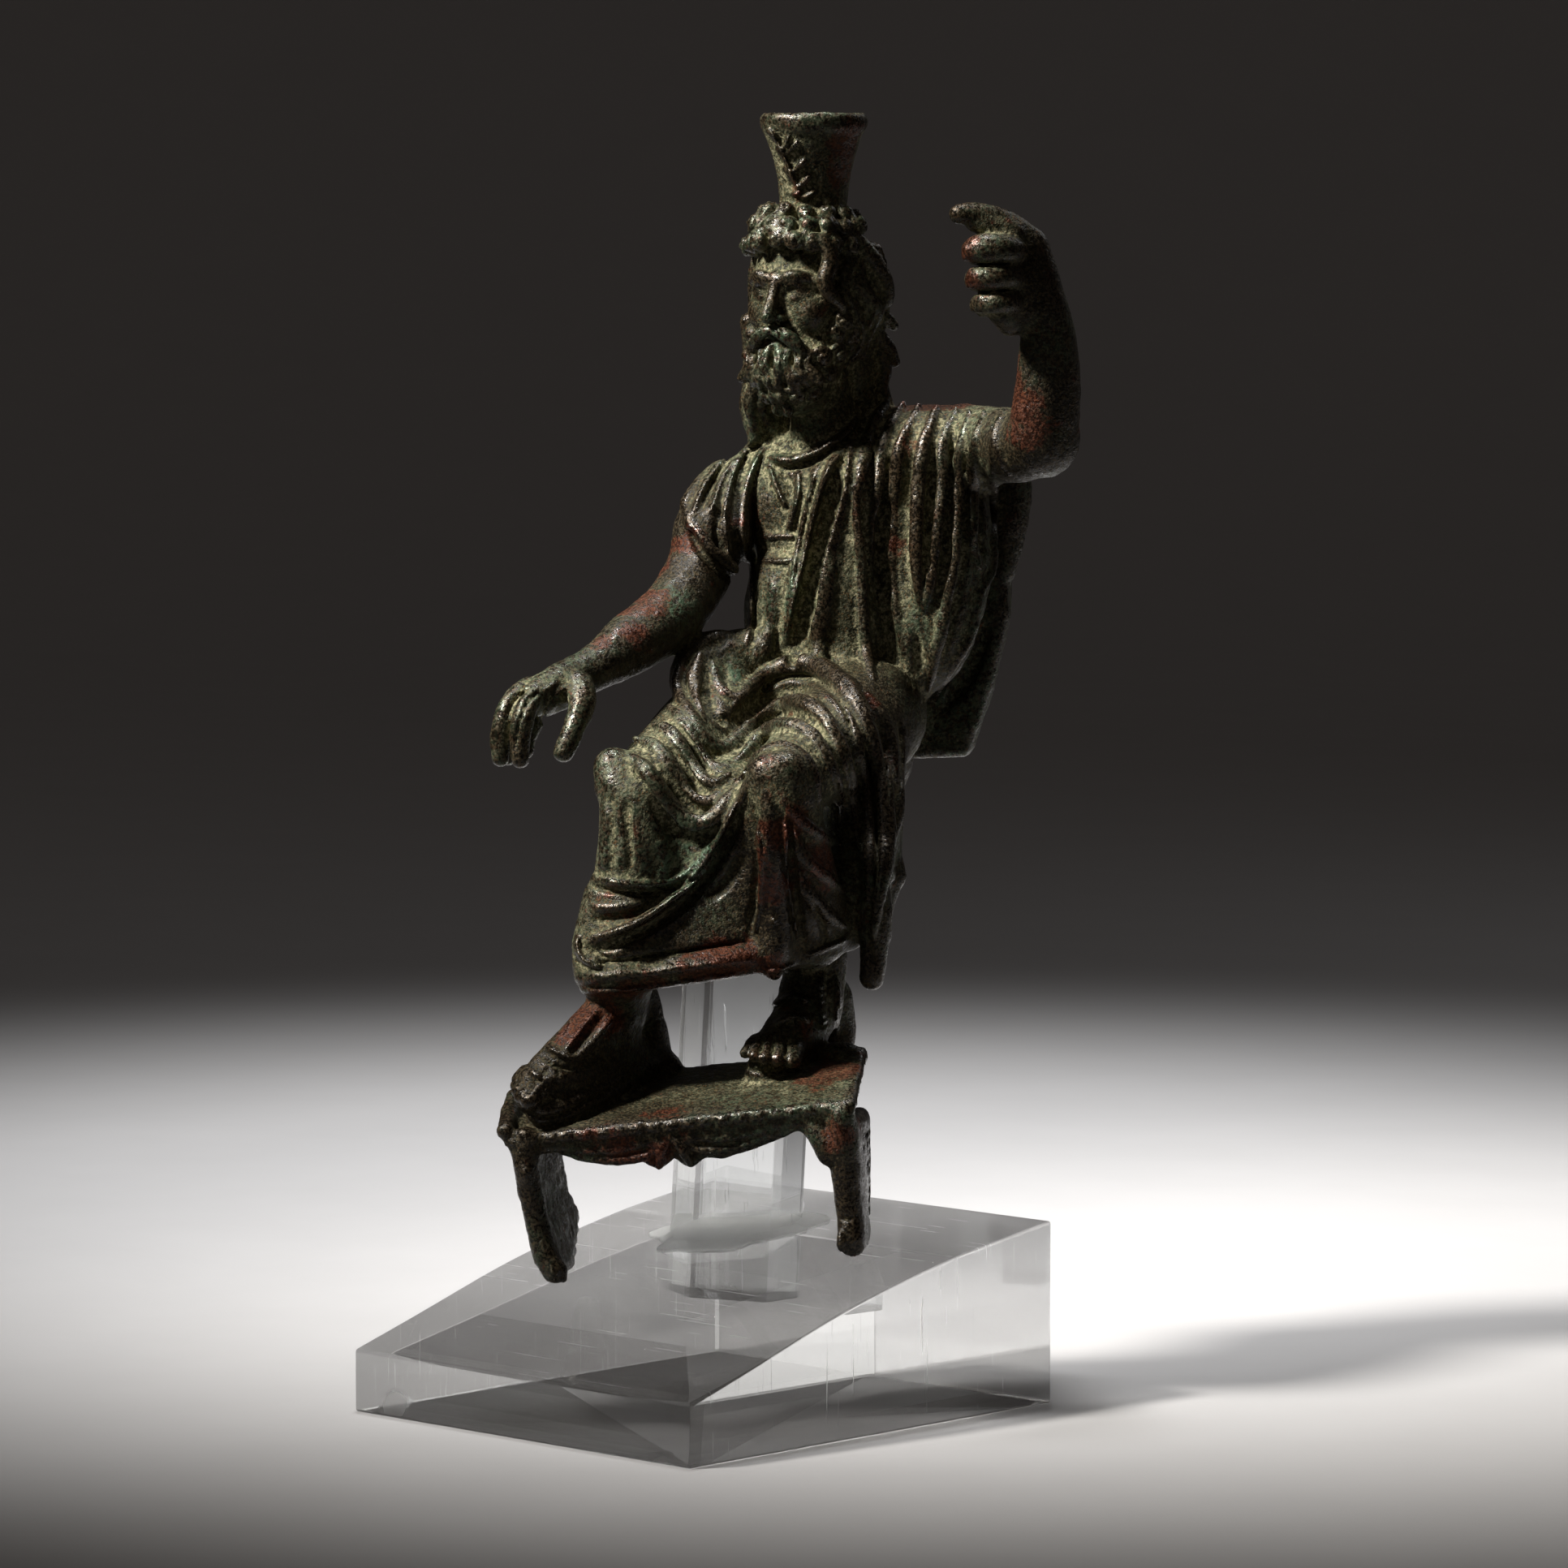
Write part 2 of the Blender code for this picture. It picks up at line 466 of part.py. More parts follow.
fold(((-8.5, 103.5), (-3.0, 104.8), (4.5, 106.0), (10.0, 101.5), (13.8, 95.0), (16.0, 86.0), (14.5, 76.0), (12.4, 66.0)), 2.3)
for i in range(4):                         # folds nested round the left knee
    k = 1.0 + i
    fold(((-6.5 + 0.6 * i, 100.6 - 2.6 * i), (1.0, 103.0 - 2.4 * i), (8.6 - 0.6 * i, 98.0 - 2.2 * i),
          (12.4 - 1.6 * i, 90.0 - 1.6 * i), (12.0 - 2.2 * i, 79.0)), 1.1)
for i in range(4):                         # bunched cloth at the right hip
    fold(((-14.0 + 2.3 * i, 108.0 - 0.5 * i), (-14.2 + 2.4 * i, 101.5), (-11.8 + 1.0 * i, 96.0)), 1.2)
for i in range(4):                         # swags hung between the knees
    fold(arc((-22.5 + 1.0 * i, 95.0 - 3.2 * i), (-3.0 - 0.6 * i, 94.5 - 3.6 * i), 6.0 + 1.8 * i), 1.0)
fold(arc((-27.0, 75.6), (-5.0, 85.0), 5.5), 0.9)
fold(arc((-28.0, 67.8), (-12.0, 76.0), 1.5), 0.9)
fold(((-29.5, 62.3), (-16.0, 63.4), (-2.0, 65.8), (9.0, 68.4)), 1.1)   # hem
for i in range(5):                         # upright folds under the left knee
    fold(((-4.0 + 1.4 * i, 88.0), (-4.5 + 2.4 * i, 78.0), (-4.5 + 3.4 * i, 68.5)), 0.85)
for i in range(4):                         # plain upright folds down the mantle at the back
    x = 0.0 + 8.0 * i
    path = []
    for k in range(7):
        z = 132.0 - 5.2 * k
        hit, normal, _, _ = tree.ray_cast(V((x, 140.0, z)), V((0, -1, 0)))
        if hit is not None:
            path.append(hit - normal * 0.2)
    if len(path) > 3:
        tube(path, (0.6, 1.3, 1.2, 0.6), steps=2)

skin = fused("serapis_figure", VOXEL, KEEP_TRIS, 1)


def place(mesh, name, mat, matrix=Matrix.Identity(4)):
    mesh.transform(Matrix.Scale(MM, 4) @ matrix)
    for p in mesh.polygons:
        p.material_index = 0
    mesh.materials.clear()
    mesh.materials.append(mat)
    ob = bpy.data.objects.new(name, mesh)
    part.objects.link(ob)
    return ob


STAND = Matrix.Translation(V(FIGURE_AT)) @ Matrix.Rotation(math.radians(FIGURE_YAW), 4, "Z")
bronze = place(skin, "serapis_bronze", BRONZE, STAND)

# ---- acrylic wedge block --------------------------------------------------------------
side = [(-BLOCK_D / 2, 0.0)] + list(BLOCK_TOP) + [(BLOCK_D / 2, 0.0)]
n = len(side)
verts = [(x, y, z) for x in (-BLOCK_W / 2, BLOCK_W / 2) for y, z in side]
faces = [list(range(n)), [n + i for i in range(n)][::-1]]
faces += [[i, n + i, n + (i + 1) % n, (i + 1) % n] for i in range(n)]
mesh = bpy.data.meshes.new("wedge")
mesh.from_pydata(verts, [], faces)
bm = bmesh.new()
bm.from_mesh(mesh)
bmesh.ops.recalc_face_normals(bm, faces=bm.faces)
bm.to_mesh(mesh)
bm.free()
block = place(mesh, "acrylic_block", ACRYLIC)


# ---- acrylic post ---------------------------------------------------------------------
def six_sided(grow=0.0):
    w, f, d = POST_W / 2 + grow, POST_FLAT / 2 + grow * 0.5, POST_D / 2 + grow
    return [(-w, 0.0), (-f, -d), (f, -d), (w, 0.0), (f, d), (-f, d)]


def prism(name, ring, z0, z1, grow_lean):
    mesh = bpy.data.meshes.new(name)
    k = len(ring)
    verts = [(x, y, z) for z in (z0, z1) for x, y in ring]
    faces = [list(range(k))[::-1], [k + i for i in range(k)]]
    faces += [[i, (i + 1) % k, k + (i + 1) % k, k + i] for i in range(k)]
    mesh.from_pydata(verts, [], faces)
    lean = Matrix.Rotation(math.radians(POST_LEAN), 4, "Y")
    mesh.transform(Matrix.Translation((POST_FOOT[0], POST_FOOT[1], 18.0)) @ lean
                   @ Matrix.Rotation(math.radians(POST_YAW), 4, "Z") @ Matrix.Translation((0, 0, -18.0)))
    return mesh


post_mesh = prism("post", six_sided(), 5.0, POST_TOP_Z, 0)
post = place(post_mesh, "acrylic_post", ACRYLIC, STAND)


def cut(target, cutter):
    m = target.modifiers.new("cut", "BOOLEAN")
    m.operation = "DIFFERENCE"
    m.solver = "EXACT"
    m.object = cutter
    bpy.context.view_layer.update()
    out = bpy.data.meshes.new_from_object(target.evaluated_get(bpy.context.evaluated_depsgraph_get()))
    target.modifiers.clear()
    target.data = out


# foot of the post follows the block's slope, its top is housed in the underside of the lap
tools = bpy.data.collections.new("cutters")
bpy.context.scene.collection.children.link(tools)


def cutter(mesh, name, matrix=Matrix.Identity(4)):
    mesh.transform(Matrix.Scale(MM, 4) @ matrix)
    ob = bpy.data.objects.new(name, mesh)
    tools.objects.link(ob)
    ob.hide_render = True
    ob.display_type = "WIRE"
    return ob


lift = [(-BLOCK_D, -60.0)] + [(y, z + GAP) for y, z in BLOCK_TOP] + [(BLOCK_D, -60.0)]
lift[1] = (-BLOCK_D, BLOCK_TOP[0][1] + GAP)
lift[-2] = (BLOCK_D, BLOCK_TOP[-1][1] + GAP)
lift = lift[:1] + [lift[1]] + [(y, z + GAP) for y, z in BLOCK_TOP[1:-1]] + lift[-2:]
k = len(lift)
mesh = bpy.data.meshes.new("under")
mesh.from_pydata([(x, y, z) for x in (-BLOCK_W, BLOCK_W) for y, z in lift], [],
                 [list(range(k)), [k + i for i in range(k)][::-1]]
                 + [[i, k + i, k + (i + 1) % k, (i + 1) % k] for i in range(k)])
bm = bmesh.new()
bm.from_mesh(mesh)
bmesh.ops.recalc_face_normals(bm, faces=bm.faces)
bm.to_mesh(mesh)
bm.free()
cut(post, cutter(mesh, "slope_cutter"))
cut(bronze, cutter(prism("socket", six_sided(GAP), 5.0, POST_TOP_Z + GAP, 0), "socket_cutter", STAND))
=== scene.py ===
"""Looks for the seated bronze god on his acrylic mount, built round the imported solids.

The bronze is carved here as one signed-distance field in its own frame (millimetres: X across
the camera's view, Y away from it, Z up from the table), then meshed, thinned and put in place.
"""
import bpy
import bmesh
import math
import numpy as np
import openvdb as vdb
from mathutils import Matrix, Vector


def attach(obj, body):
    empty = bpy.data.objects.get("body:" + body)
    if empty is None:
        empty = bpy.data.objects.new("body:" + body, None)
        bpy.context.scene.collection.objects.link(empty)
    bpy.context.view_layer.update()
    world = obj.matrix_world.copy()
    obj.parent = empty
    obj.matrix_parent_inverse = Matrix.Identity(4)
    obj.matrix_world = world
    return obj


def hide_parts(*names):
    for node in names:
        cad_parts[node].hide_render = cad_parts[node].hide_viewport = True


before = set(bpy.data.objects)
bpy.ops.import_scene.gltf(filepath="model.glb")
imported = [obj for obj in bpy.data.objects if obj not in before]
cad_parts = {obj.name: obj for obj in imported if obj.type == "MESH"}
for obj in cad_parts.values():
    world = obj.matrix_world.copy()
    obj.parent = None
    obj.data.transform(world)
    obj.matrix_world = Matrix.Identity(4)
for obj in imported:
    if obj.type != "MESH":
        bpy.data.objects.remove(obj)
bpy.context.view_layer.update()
MM = 0.001

# ---- the reference view ---------------------------------------------------------------
FOCAL = 9000.0                  # pixels, for a 1932 pixel frame
FAR = 1047.6                    # camera to the figure's plane, mm
PITCH = math.radians(4.89)
SP, CP = math.sin(PITCH), math.cos(PITCH)
AXIS_Z = 90.98
FIGURE_YAW = math.radians(43.8)
FIGURE_AT = np.array([10.8, 5.5, 0.0])


def P(px, py, y):
    """Figure-frame point seen at (px, py) of the view, y deep."""
    a = (966.0 - py) / FOCAL
    z = (a * (y * CP + FAR) - y * SP) / (CP + a * SP)
    fw = y * CP - z * SP + FAR
    return np.array([(px - 966.0) / FOCAL * fw, y, z + AXIS_Z])


def pixels(x, y, z):
    zz = z - AXIS_Z
    fw = y * CP - zz * SP + FAR
    return 966.0 + FOCAL * x / fw, 966.0 - FOCAL * (y * SP + zz * CP) / fw


# ---- distance field -------------------------------------------------------------------
H = 0.34
LO = np.array([-45.0, -15.0, 16.0])
HI = np.array([46.0, 59.0, 189.5])
N = np.ceil((HI - LO) / H).astype(int) + 1
AX = [(LO[i] + H * np.arange(N[i])).astype(np.float32) for i in range(3)]
D = np.full(N, 4.0, np.float32)
T = np.full(N, 9.0, np.float32)


def window(lo, hi):
    a = np.clip(np.floor((np.asarray(lo) - LO) / H).astype(int), 0, N - 1)
    b = np.clip(np.ceil((np.asarray(hi) - LO) / H).astype(int) + 1, 1, N)
    return tuple(slice(int(i), int(max(i + 1, j))) for i, j in zip(a, b))


def axes(w):
    return AX[0][w[0]][:, None, None], AX[1][w[1]][None, :, None], AX[2][w[2]][None, None, :]


def smin(a, b, k):
    if k <= 0:
        return np.minimum(a, b)
    h = np.maximum(k - np.abs(a - b), 0) / k
    return np.minimum(a, b) - h * h * (k * 0.25)


def put(w, d, k, cut=False):
    if cut:
        D[w] = -smin(-D[w], d, k)
    else:
        D[w] = smin(D[w], d, k)


def path_of(points, step=1.0):
    """Rounded path (Catmull-Rom) through rows of numbers, resampled evenly by its first three."""
    p = np.asarray(points, float)
    if len(p) == 2:
        n = max(2, int(np.linalg.norm((p[1] - p[0])[:3]) / step) + 1)
        t = np.linspace(0, 1, n)[:, None]
        return p[0] * (1 - t) + p[1] * t
    q = np.vstack([2 * p[0] - p[1], p, 2 * p[-1] - p[-2]])
    out = []
    for i in range(1, len(q) - 2):
        n = max(2, int(np.linalg.norm((q[i + 1] - q[i])[:3]) / step) + 1)
        t = np.linspace(0, 1, n, endpoint=False)[:, None]
        out.append(0.5 * (2 * q[i] + (q[i + 1] - q[i - 1]) * t + (2 * q[i - 1] - 5 * q[i] + 4 * q[i + 1] - q[i + 2]) * t ** 2
                          + (3 * q[i] - q[i - 1] - 3 * q[i + 1] + q[i + 2]) * t ** 3))
    out.append(p[-1:])
    return np.vstack(out)


def chain(rows, k=0.8, cut=False, flat=None, step=1.2, smooth=True):
    """Tapered limb along rows of (x, y, z, radius). flat=(direction, factor) squashes it."""
    rows = path_of(rows, step) if smooth else np.asarray(rows, float)
    pad = rows[:, 3].max() + 2.2
    lo, hi = rows[:, :3].min(0) - pad, rows[:, :3].max(0) + pad
    whole = window(lo, hi)
    for a, b in zip(rows[:-1], rows[1:]):
        r = max(a[3], b[3]) + 2.2
        w = window(np.minimum(a[:3], b[:3]) - r, np.maximum(a[:3], b[:3]) + r)
        x, y, z = axes(w)
        x, y, z = x - np.float32(a[0]), y - np.float32(a[1]), z - np.float32(a[2])
        ab = (b[:3] - a[:3]).astype(np.float32)
        l2 = max(float(ab @ ab), 1e-6)
        t = np.clip((x * ab[0] + y * ab[1] + z * ab[2]) / np.float32(l2), 0, 1)
        dx, dy, dz = x - t * ab[0], y - t * ab[1], z - t * ab[2]
        if flat is not None:
            n, f = flat
            m = (dx * n[0] + dy * n[1] + dz * n[2]) * (f - 1.0)
            dx, dy, dz = dx + m * n[0], dy + m * n[1], dz + m * n[2]
        d = np.sqrt(dx * dx + dy * dy + dz * dz) - (np.float32(a[3]) + t * np.float32(b[3] - a[3]))
        T[w] = np.minimum(T[w], d)
    put(whole, T[whole], k, cut)
    T[whole] = 9.0


def ball(c, r, k=0.8, cut=False, rot=None):
    """Ellipsoid; rot is a 3x3 whose rows are its axes."""
    r = np.asarray(r, float) * np.ones(3)
    w = window(np.asarray(c) - r.max() - 2.5, np.asarray(c) + r.max() + 2.5)
    x, y, z = axes(w)
    x, y, z = x - np.float32(c[0]), y - np.float32(c[1]), z - np.float32(c[2])
    if rot is not None:
        x, y, z = [x * np.float32(m[0]) + y * np.float32(m[1]) + z * np.float32(m[2]) for m in rot]
    k0 = np.sqrt((x / r[0]) ** 2 + (y / r[1]) ** 2 + (z / r[2]) ** 2)
    k1 = np.sqrt((x / r[0] ** 2) ** 2 + (y / r[1] ** 2) ** 2 + (z / r[2] ** 2) ** 2) + 1e-5
    put(w, (k0 * (k0 - 1) / k1).astype(np.float32), k, cut)


def rotz(deg):
    a = math.radians(deg)
    return np.array([[math.cos(a), math.sin(a), 0], [-math.sin(a), math.cos(a), 0], [0, 0, 1.0]])


def prism(outline, origin, ex, ey, ez, lo, hi, k=0.6, cut=False, r=0.4):
    """Outline in the (ex, ez) plane, from lo to hi along ey, edges rounded by r."""
    pts = np.asarray(outline, float)
    corners = [origin + ex * u + ez * v + ey * s for u, v in pts for s in (lo, hi)]
    w = window(np.min(corners, 0) - 2.5, np.max(corners, 0) + 2.5)
    x, y, z = axes(w)
    x, y, z = x - np.float32(origin[0]), y - np.float32(origin[1]), z - np.float32(origin[2])
    u = (x * ex[0] + y * ex[1] + z * ex[2]).astype(np.float32)
    v = (x * ez[0] + y * ez[1] + z * ez[2]).astype(np.float32)
    s = (x * ey[0] + y * ey[1] + z * ey[2]).astype(np.float32)
    best = np.full(u.shape, 1e9, np.float32)
    inside = np.zeros(u.shape, bool)
    n = len(pts)
    for i in range(n):
        a, b = pts[i], pts[(i + 1) % n]
        e = b - a
        t = np.clip(((u - a[0]) * e[0] + (v - a[1]) * e[1]) / max(e @ e, 1e-9), 0, 1)
        best = np.minimum(best, (u - a[0] - t * e[0]) ** 2 + (v - a[1] - t * e[1]) ** 2)
        c = (v >= a[1]) != (v >= b[1])
        if abs(e[1]) > 1e-9:
            inside ^= c & (u < a[0] + (v - a[1]) * e[0] / e[1])
    d2 = np.sqrt(best)
    d2[inside] *= -1
    q1 = d2 + r
    q2 = np.abs(s - (lo + hi) / 2) - (hi - lo) / 2 + r
    d = np.minimum(np.maximum(q1, q2), 0) + np.sqrt(np.maximum(q1, 0) ** 2 + np.maximum(q2, 0) ** 2) - r
    put(w, d.astype(np.float32), k, cut)


def sample(f, x, y, z):
    """Trilinear value of a field at points."""
    g = [np.clip((v - LO[i]) / H, 0, N[i] - 1.001) for i, v in enumerate((x, y, z))]
    i0 = [q.astype(np.int32) for q in g]
    f0 = [(q - i).astype(np.float32) for q, i in zip(g, i0)]
    out = 0
    for a in (0, 1):
        for b in (0, 1):
            for c in (0, 1):
                wt = ((f0[0] if a else 1 - f0[0]) * (f0[1] if b else 1 - f0[1]) * (f0[2] if c else 1 - f0[2]))
                out = out + wt * f[i0[0] + a, i0[1] + b, i0[2] + c]
    return out


def first_hit(px, py):
    """Depth of the first surface along the view's ray through each (px, py); nan where none."""
    px, py = np.asarray(px, float).ravel(), np.asarray(py, float).ravel()
    dx, u = (px - 966.0) / FOCAL, (966.0 - py) / FOCAL
    dy, dz = CP + u * SP, -SP + u * CP
    ys = np.arange(LO[1], HI[1], H * 0.75)
    out = np.full(px.shape, np.nan)
    for s0 in range(0, len(px), 20000):
        sl = slice(s0, s0 + 20000)
        s = (ys[None, :] + FAR * CP) / dy[sl, None]
        X, Z = dx[sl, None] * s, AXIS_Z + FAR * SP + dz[sl, None] * s
        ix = np.clip(((X - LO[0]) / H + 0.5).astype(np.int32), 0, N[0] - 1)
        iz = np.clip(((Z - LO[2]) / H + 0.5).astype(np.int32), 0, N[2] - 1)
        iy = np.clip(((ys - LO[1]) / H + 0.5).astype(np.int32), 0, N[1] - 1)[None, :]
        v = D[ix, np.broadcast_to(iy, ix.shape), iz]
        hit = v < 0
        k = hit.argmax(1)
        ok = hit.any(1)
        r = np.arange(len(k))
        k0 = np.maximum(k - 1, 0)
        v0, v1 = v[r, k0], v[r, k]
        y = ys[k0] + (ys[k] - ys[k0]) * np.clip(v0 / np.maximum(v0 - v1, 1e-6), 0, 1)
        out[sl] = np.where(ok, y, np.nan)
    return out


PX0, PY0, PSTEP = 560.0, 100.0, 2.0
PW, PH = 402, 762
depth = None


def look():
    """Takes the depth picture that the next strokes lie on."""
    global depth
    gx, gy = np.meshgrid(PX0 + PSTEP * 2 * np.arange(PW // 2 + 1), PY0 + PSTEP * 2 * np.arange(PH // 2 + 1), indexing="ij")
    depth = first_hit(gx, gy).reshape(gx.shape)


def depth_on(px, py):
    g = (np.asarray(px) - PX0) / (2 * PSTEP), (np.asarray(py) - PY0) / (2 * PSTEP)
    i = np.clip(np.round(g[0]).astype(int), 0, depth.shape[0] - 1)
    j = np.clip(np.round(g[1]).astype(int), 0, depth.shape[1] - 1)
    return depth[i, j]


def stroke(pts, width, height=1.0, sink=0.35, k=0.6, cut=False, ends=(0.45, 0.45)):
    """A round fold laid along view points. width is its half-width in view pixels."""
    rows = path_of([(a, b, 0.0) for a, b in pts], 6.0)
    dep = depth_on(rows[:, 0], rows[:, 1])
    good = ~np.isnan(dep)
    if good.sum() < 2:
        return
    idx = np.arange(len(dep))
    dep = np.interp(idx, idx[good], dep[good])
    if len(dep) > 4:                       # a fold doesn't jump in depth: spikes are dropped, then it is smoothed
        pad = np.pad(dep, 2, mode="edge")
        dep = np.median([pad[i:i + len(dep)] for i in range(5)], axis=0)
    for _ in range(6):
        dep = np.convolve(np.pad(dep, 1, mode="edge"), (0.25, 0.5, 0.25), mode="valid")
    t = np.linspace(0, 1, len(dep))
    wide = np.interp(t, np.linspace(0, 1, len(width)), width) if hasattr(width, "__len__") else np.full(len(t), float(width))
    wide = wide * 0.1185
    env = np.minimum(ends[0] + (1 - ends[0]) * np.clip(t / 0.18, 0, 1), ends[1] + (1 - ends[1]) * np.clip((1 - t) / 0.18, 0, 1))
    rad = wide * env
    rows3 = []
    for (a, b, _), y, r in zip(rows, dep, rad):
        q = P(a, b, y + (sink * r if not cut else -(0.25) * r))
        rows3.append((*q, max(r, 0.25)))
    chain(rows3, k=k, cut=cut, smooth=False, flat=((0, 1, 0), 1.0 / height) if height != 1.0 else None)


# ---- painted relief: folds too fine to lay as solid strokes ------------------------------
relief = np.zeros((PW, PH), np.float32)
gx_ = PX0 + PSTEP * np.arange(PW)
gy_ = PY0 + PSTEP * np.arange(PH)


def paint(pts, width, height, round_=False, ends=(0.0, 0.0)):
    """Adds a ridge (height > 0) or a groove (height < 0), mm, along view points."""
    rows = path_of([(a, b, 0.0) for a, b in pts], 5.0)[:, :2]
    t_all = np.linspace(0, 1, len(rows))
    wid = np.interp(t_all, np.linspace(0, 1, len(width)), width) if hasattr(width, "__len__") else np.full(len(rows), float(width))
    env = np.minimum(ends[0] + (1 - ends[0]) * np.clip(t_all / 0.15, 0, 1), ends[1] + (1 - ends[1]) * np.clip((1 - t_all) / 0.15, 0, 1))
    pad = wid.max() + 3
    i0, i1 = np.searchsorted(gx_, [rows[:, 0].min() - pad, rows[:, 0].max() + pad])
    j0, j1 = np.searchsorted(gy_, [rows[:, 1].min() - pad, rows[:, 1].max() + pad])
    if i1 <= i0 or j1 <= j0:
        return
    X, Y = gx_[i0:i1, None], gy_[None, j0:j1]
    best = np.full((i1 - i0, j1 - j0), 9.0, np.float32)
    amp = np.zeros_like(best)
    for n in range(len(rows) - 1):
        a, b = rows[n], rows[n + 1]
        e = b - a
        t = np.clip(((X - a[0]) * e[0] + (Y - a[1]) * e[1]) / max(e @ e, 1e-9), 0, 1)
        d = np.hypot(X - a[0] - t * e[0], Y - a[1] - t * e[1]) / (wid[n] + (wid[n + 1] - wid[n]) * t)
        m = d < best
        best = np.where(m, d, best)
        amp = np.where(m, env[n] + (env[n + 1] - env[n]) * t, amp)
    prof = np.sqrt(np.maximum(1 - best ** 2, 0)) if round_ else 0.5 * (1 + np.cos(np.pi * np.clip(best, 0, 1)))
    add = (prof * amp * abs(height)).astype(np.float32)
    part = relief[i0:i1, j0:j1]
    relief[i0:i1, j0:j1] = np.where(height > 0, np.where(part < 0, part + add, np.maximum(part, add)), np.where(part > 0, part - add, np.minimum(part, -add)))


def emboss(reach=3.5, gain=1.0):
    """Works the painted relief into the field where it faces the view."""
    global relief
    i, j, k = np.nonzero(np.abs(D) < 2.6)
    x, y, z = AX[0][i], AX[1][j], AX[2][k]
    px, py = pixels(x, y, z)
    u, v = np.clip((px - PX0) / PSTEP, 0, PW - 1.001), np.clip((py - PY0) / PSTEP, 0, PH - 1.001)
    a, b = u.astype(int), v.astype(int)
    fu, fv = u - a, v - b
    h = (relief[a, b] * (1 - fu) * (1 - fv) + relief[a + 1, b] * fu * (1 - fv)
         + relief[a, b + 1] * (1 - fu) * fv + relief[a + 1, b + 1] * fu * fv)
    dep = depth_on(px, py)
    dep = np.where(np.isnan(dep), y, dep)
    near = np.clip((reach - (y - dep)) / 1.2, 0, 1) * np.clip((y - dep + 4.5) / 1.2, 0, 1)
    D[i, j, k] -= (gain * h * near).astype(np.float32)
    relief = np.zeros((PW, PH), np.float32)


def limb(rows, k=1.0, cut=False, **kw):
    """chain() with rows given as (view x, view y, depth, radius)."""
    chain([(*P(a, b, y), r) for a, b, y, r in rows], k=k, cut=cut, **kw)


def poly_dist(u, v, pts):
    pts = np.asarray(pts, float)
    best = np.full(u.shape, 1e9, np.float32)
    inside = np.zeros(u.shape, bool)
    for i in range(len(pts)):
        a, b = pts[i], pts[(i + 1) % len(pts)]
        e = b - a
        t = np.clip(((u - a[0]) * e[0] + (v - a[1]) * e[1]) / max(e @ e, 1e-9), 0, 1)
        best = np.minimum(best, (u - a[0] - t * e[0]) ** 2 + (v - a[1] - t * e[1]) ** 2)
        if abs(e[1]) > 1e-9:
            inside ^= ((v >= a[1]) != (v >= b[1])) & (u < a[0] + (v - a[1]) * e[0] / e[1])
    d = np.sqrt(best)
    d[inside] *= -1
    return d


def turned(profile, at, k=0.6):
    """Solid of revolution about an upright axis, from an (r, z) outline."""
    pr = np.asarray(profile, float)
    r = pr[:, 0].max() + 2.5
    w = window((at[0] - r, at[1] - r, pr[:, 1].min() - 2), (at[0] + r, at[1] + r, pr[:, 1].max() + 2))
    x, y, z = axes(w)
    rr = np.sqrt((x - at[0]) ** 2 + (y - at[1]) ** 2)
    rr = np.broadcast_to(rr, (rr.shape[0], rr.shape[1], z.shape[2]))
    zz = np.broadcast_to(z, rr.shape)
    put(w, poly_dist(rr, zz, pr).astype(np.float32), k)


XA, YA, ZA = np.array([1.0, 0, 0]), np.array([0, 1.0, 0]), np.array([0, 0, 1.0])

# ---- footstool ------------------------------------------------------------------------
SX = np.array([50.8, -6.0, 6.2]); SX /= np.linalg.norm(SX)
SY0 = np.array([1.5, 22.0, 5.0])
SZ = np.cross(SX, SY0); SZ /= np.linalg.norm(SZ)
SY = np.cross(SZ, SX)
ST = np.array([-14.2, 2.0, 46.2])
SHW, SHD = 25.2, 11.25


def on_stool(u, s, v=0.0):
    return ST + SX * u + SY * s + SZ * v


prism([(-SHW, 0), (-SHW, -1.7), (-SHW + 0.7, -3.2), (SHW - 0.7, -3.2), (SHW, -1.7), (SHW, 0)], ST, SX, SY, SZ, -SHD, SHD, k=0.3, r=0.5)
prism([(-SHW - 0.3, -0.5), (-SHW - 0.3, -1.5), (SHW + 0.3, -1.5), (SHW + 0.3, -0.5)], ST, SX, SY, SZ, -SHD - 0.4, SHD, k=0.3, r=0.3)
chain([(*on_stool(-SHW, -SHD - 0.45, -2.05), 0.32), (*on_stool(SHW, -SHD - 0.45, -2.05), 0.32)], k=0.25, cut=True)
TEETH = 20
for i in range(TEETH + 1):                 # notched front edge
    u = -SHW + 2 * SHW * i / TEETH
    chain([(*on_stool(u, -SHD + 0.55, 0.35), 0.45), (*on_stool(u, -SHD - 0.40, 0.20), 0.60), (*on_stool(u + 0.15, -SHD - 0.62, -1.3), 0.60)], k=0.12, cut=True)

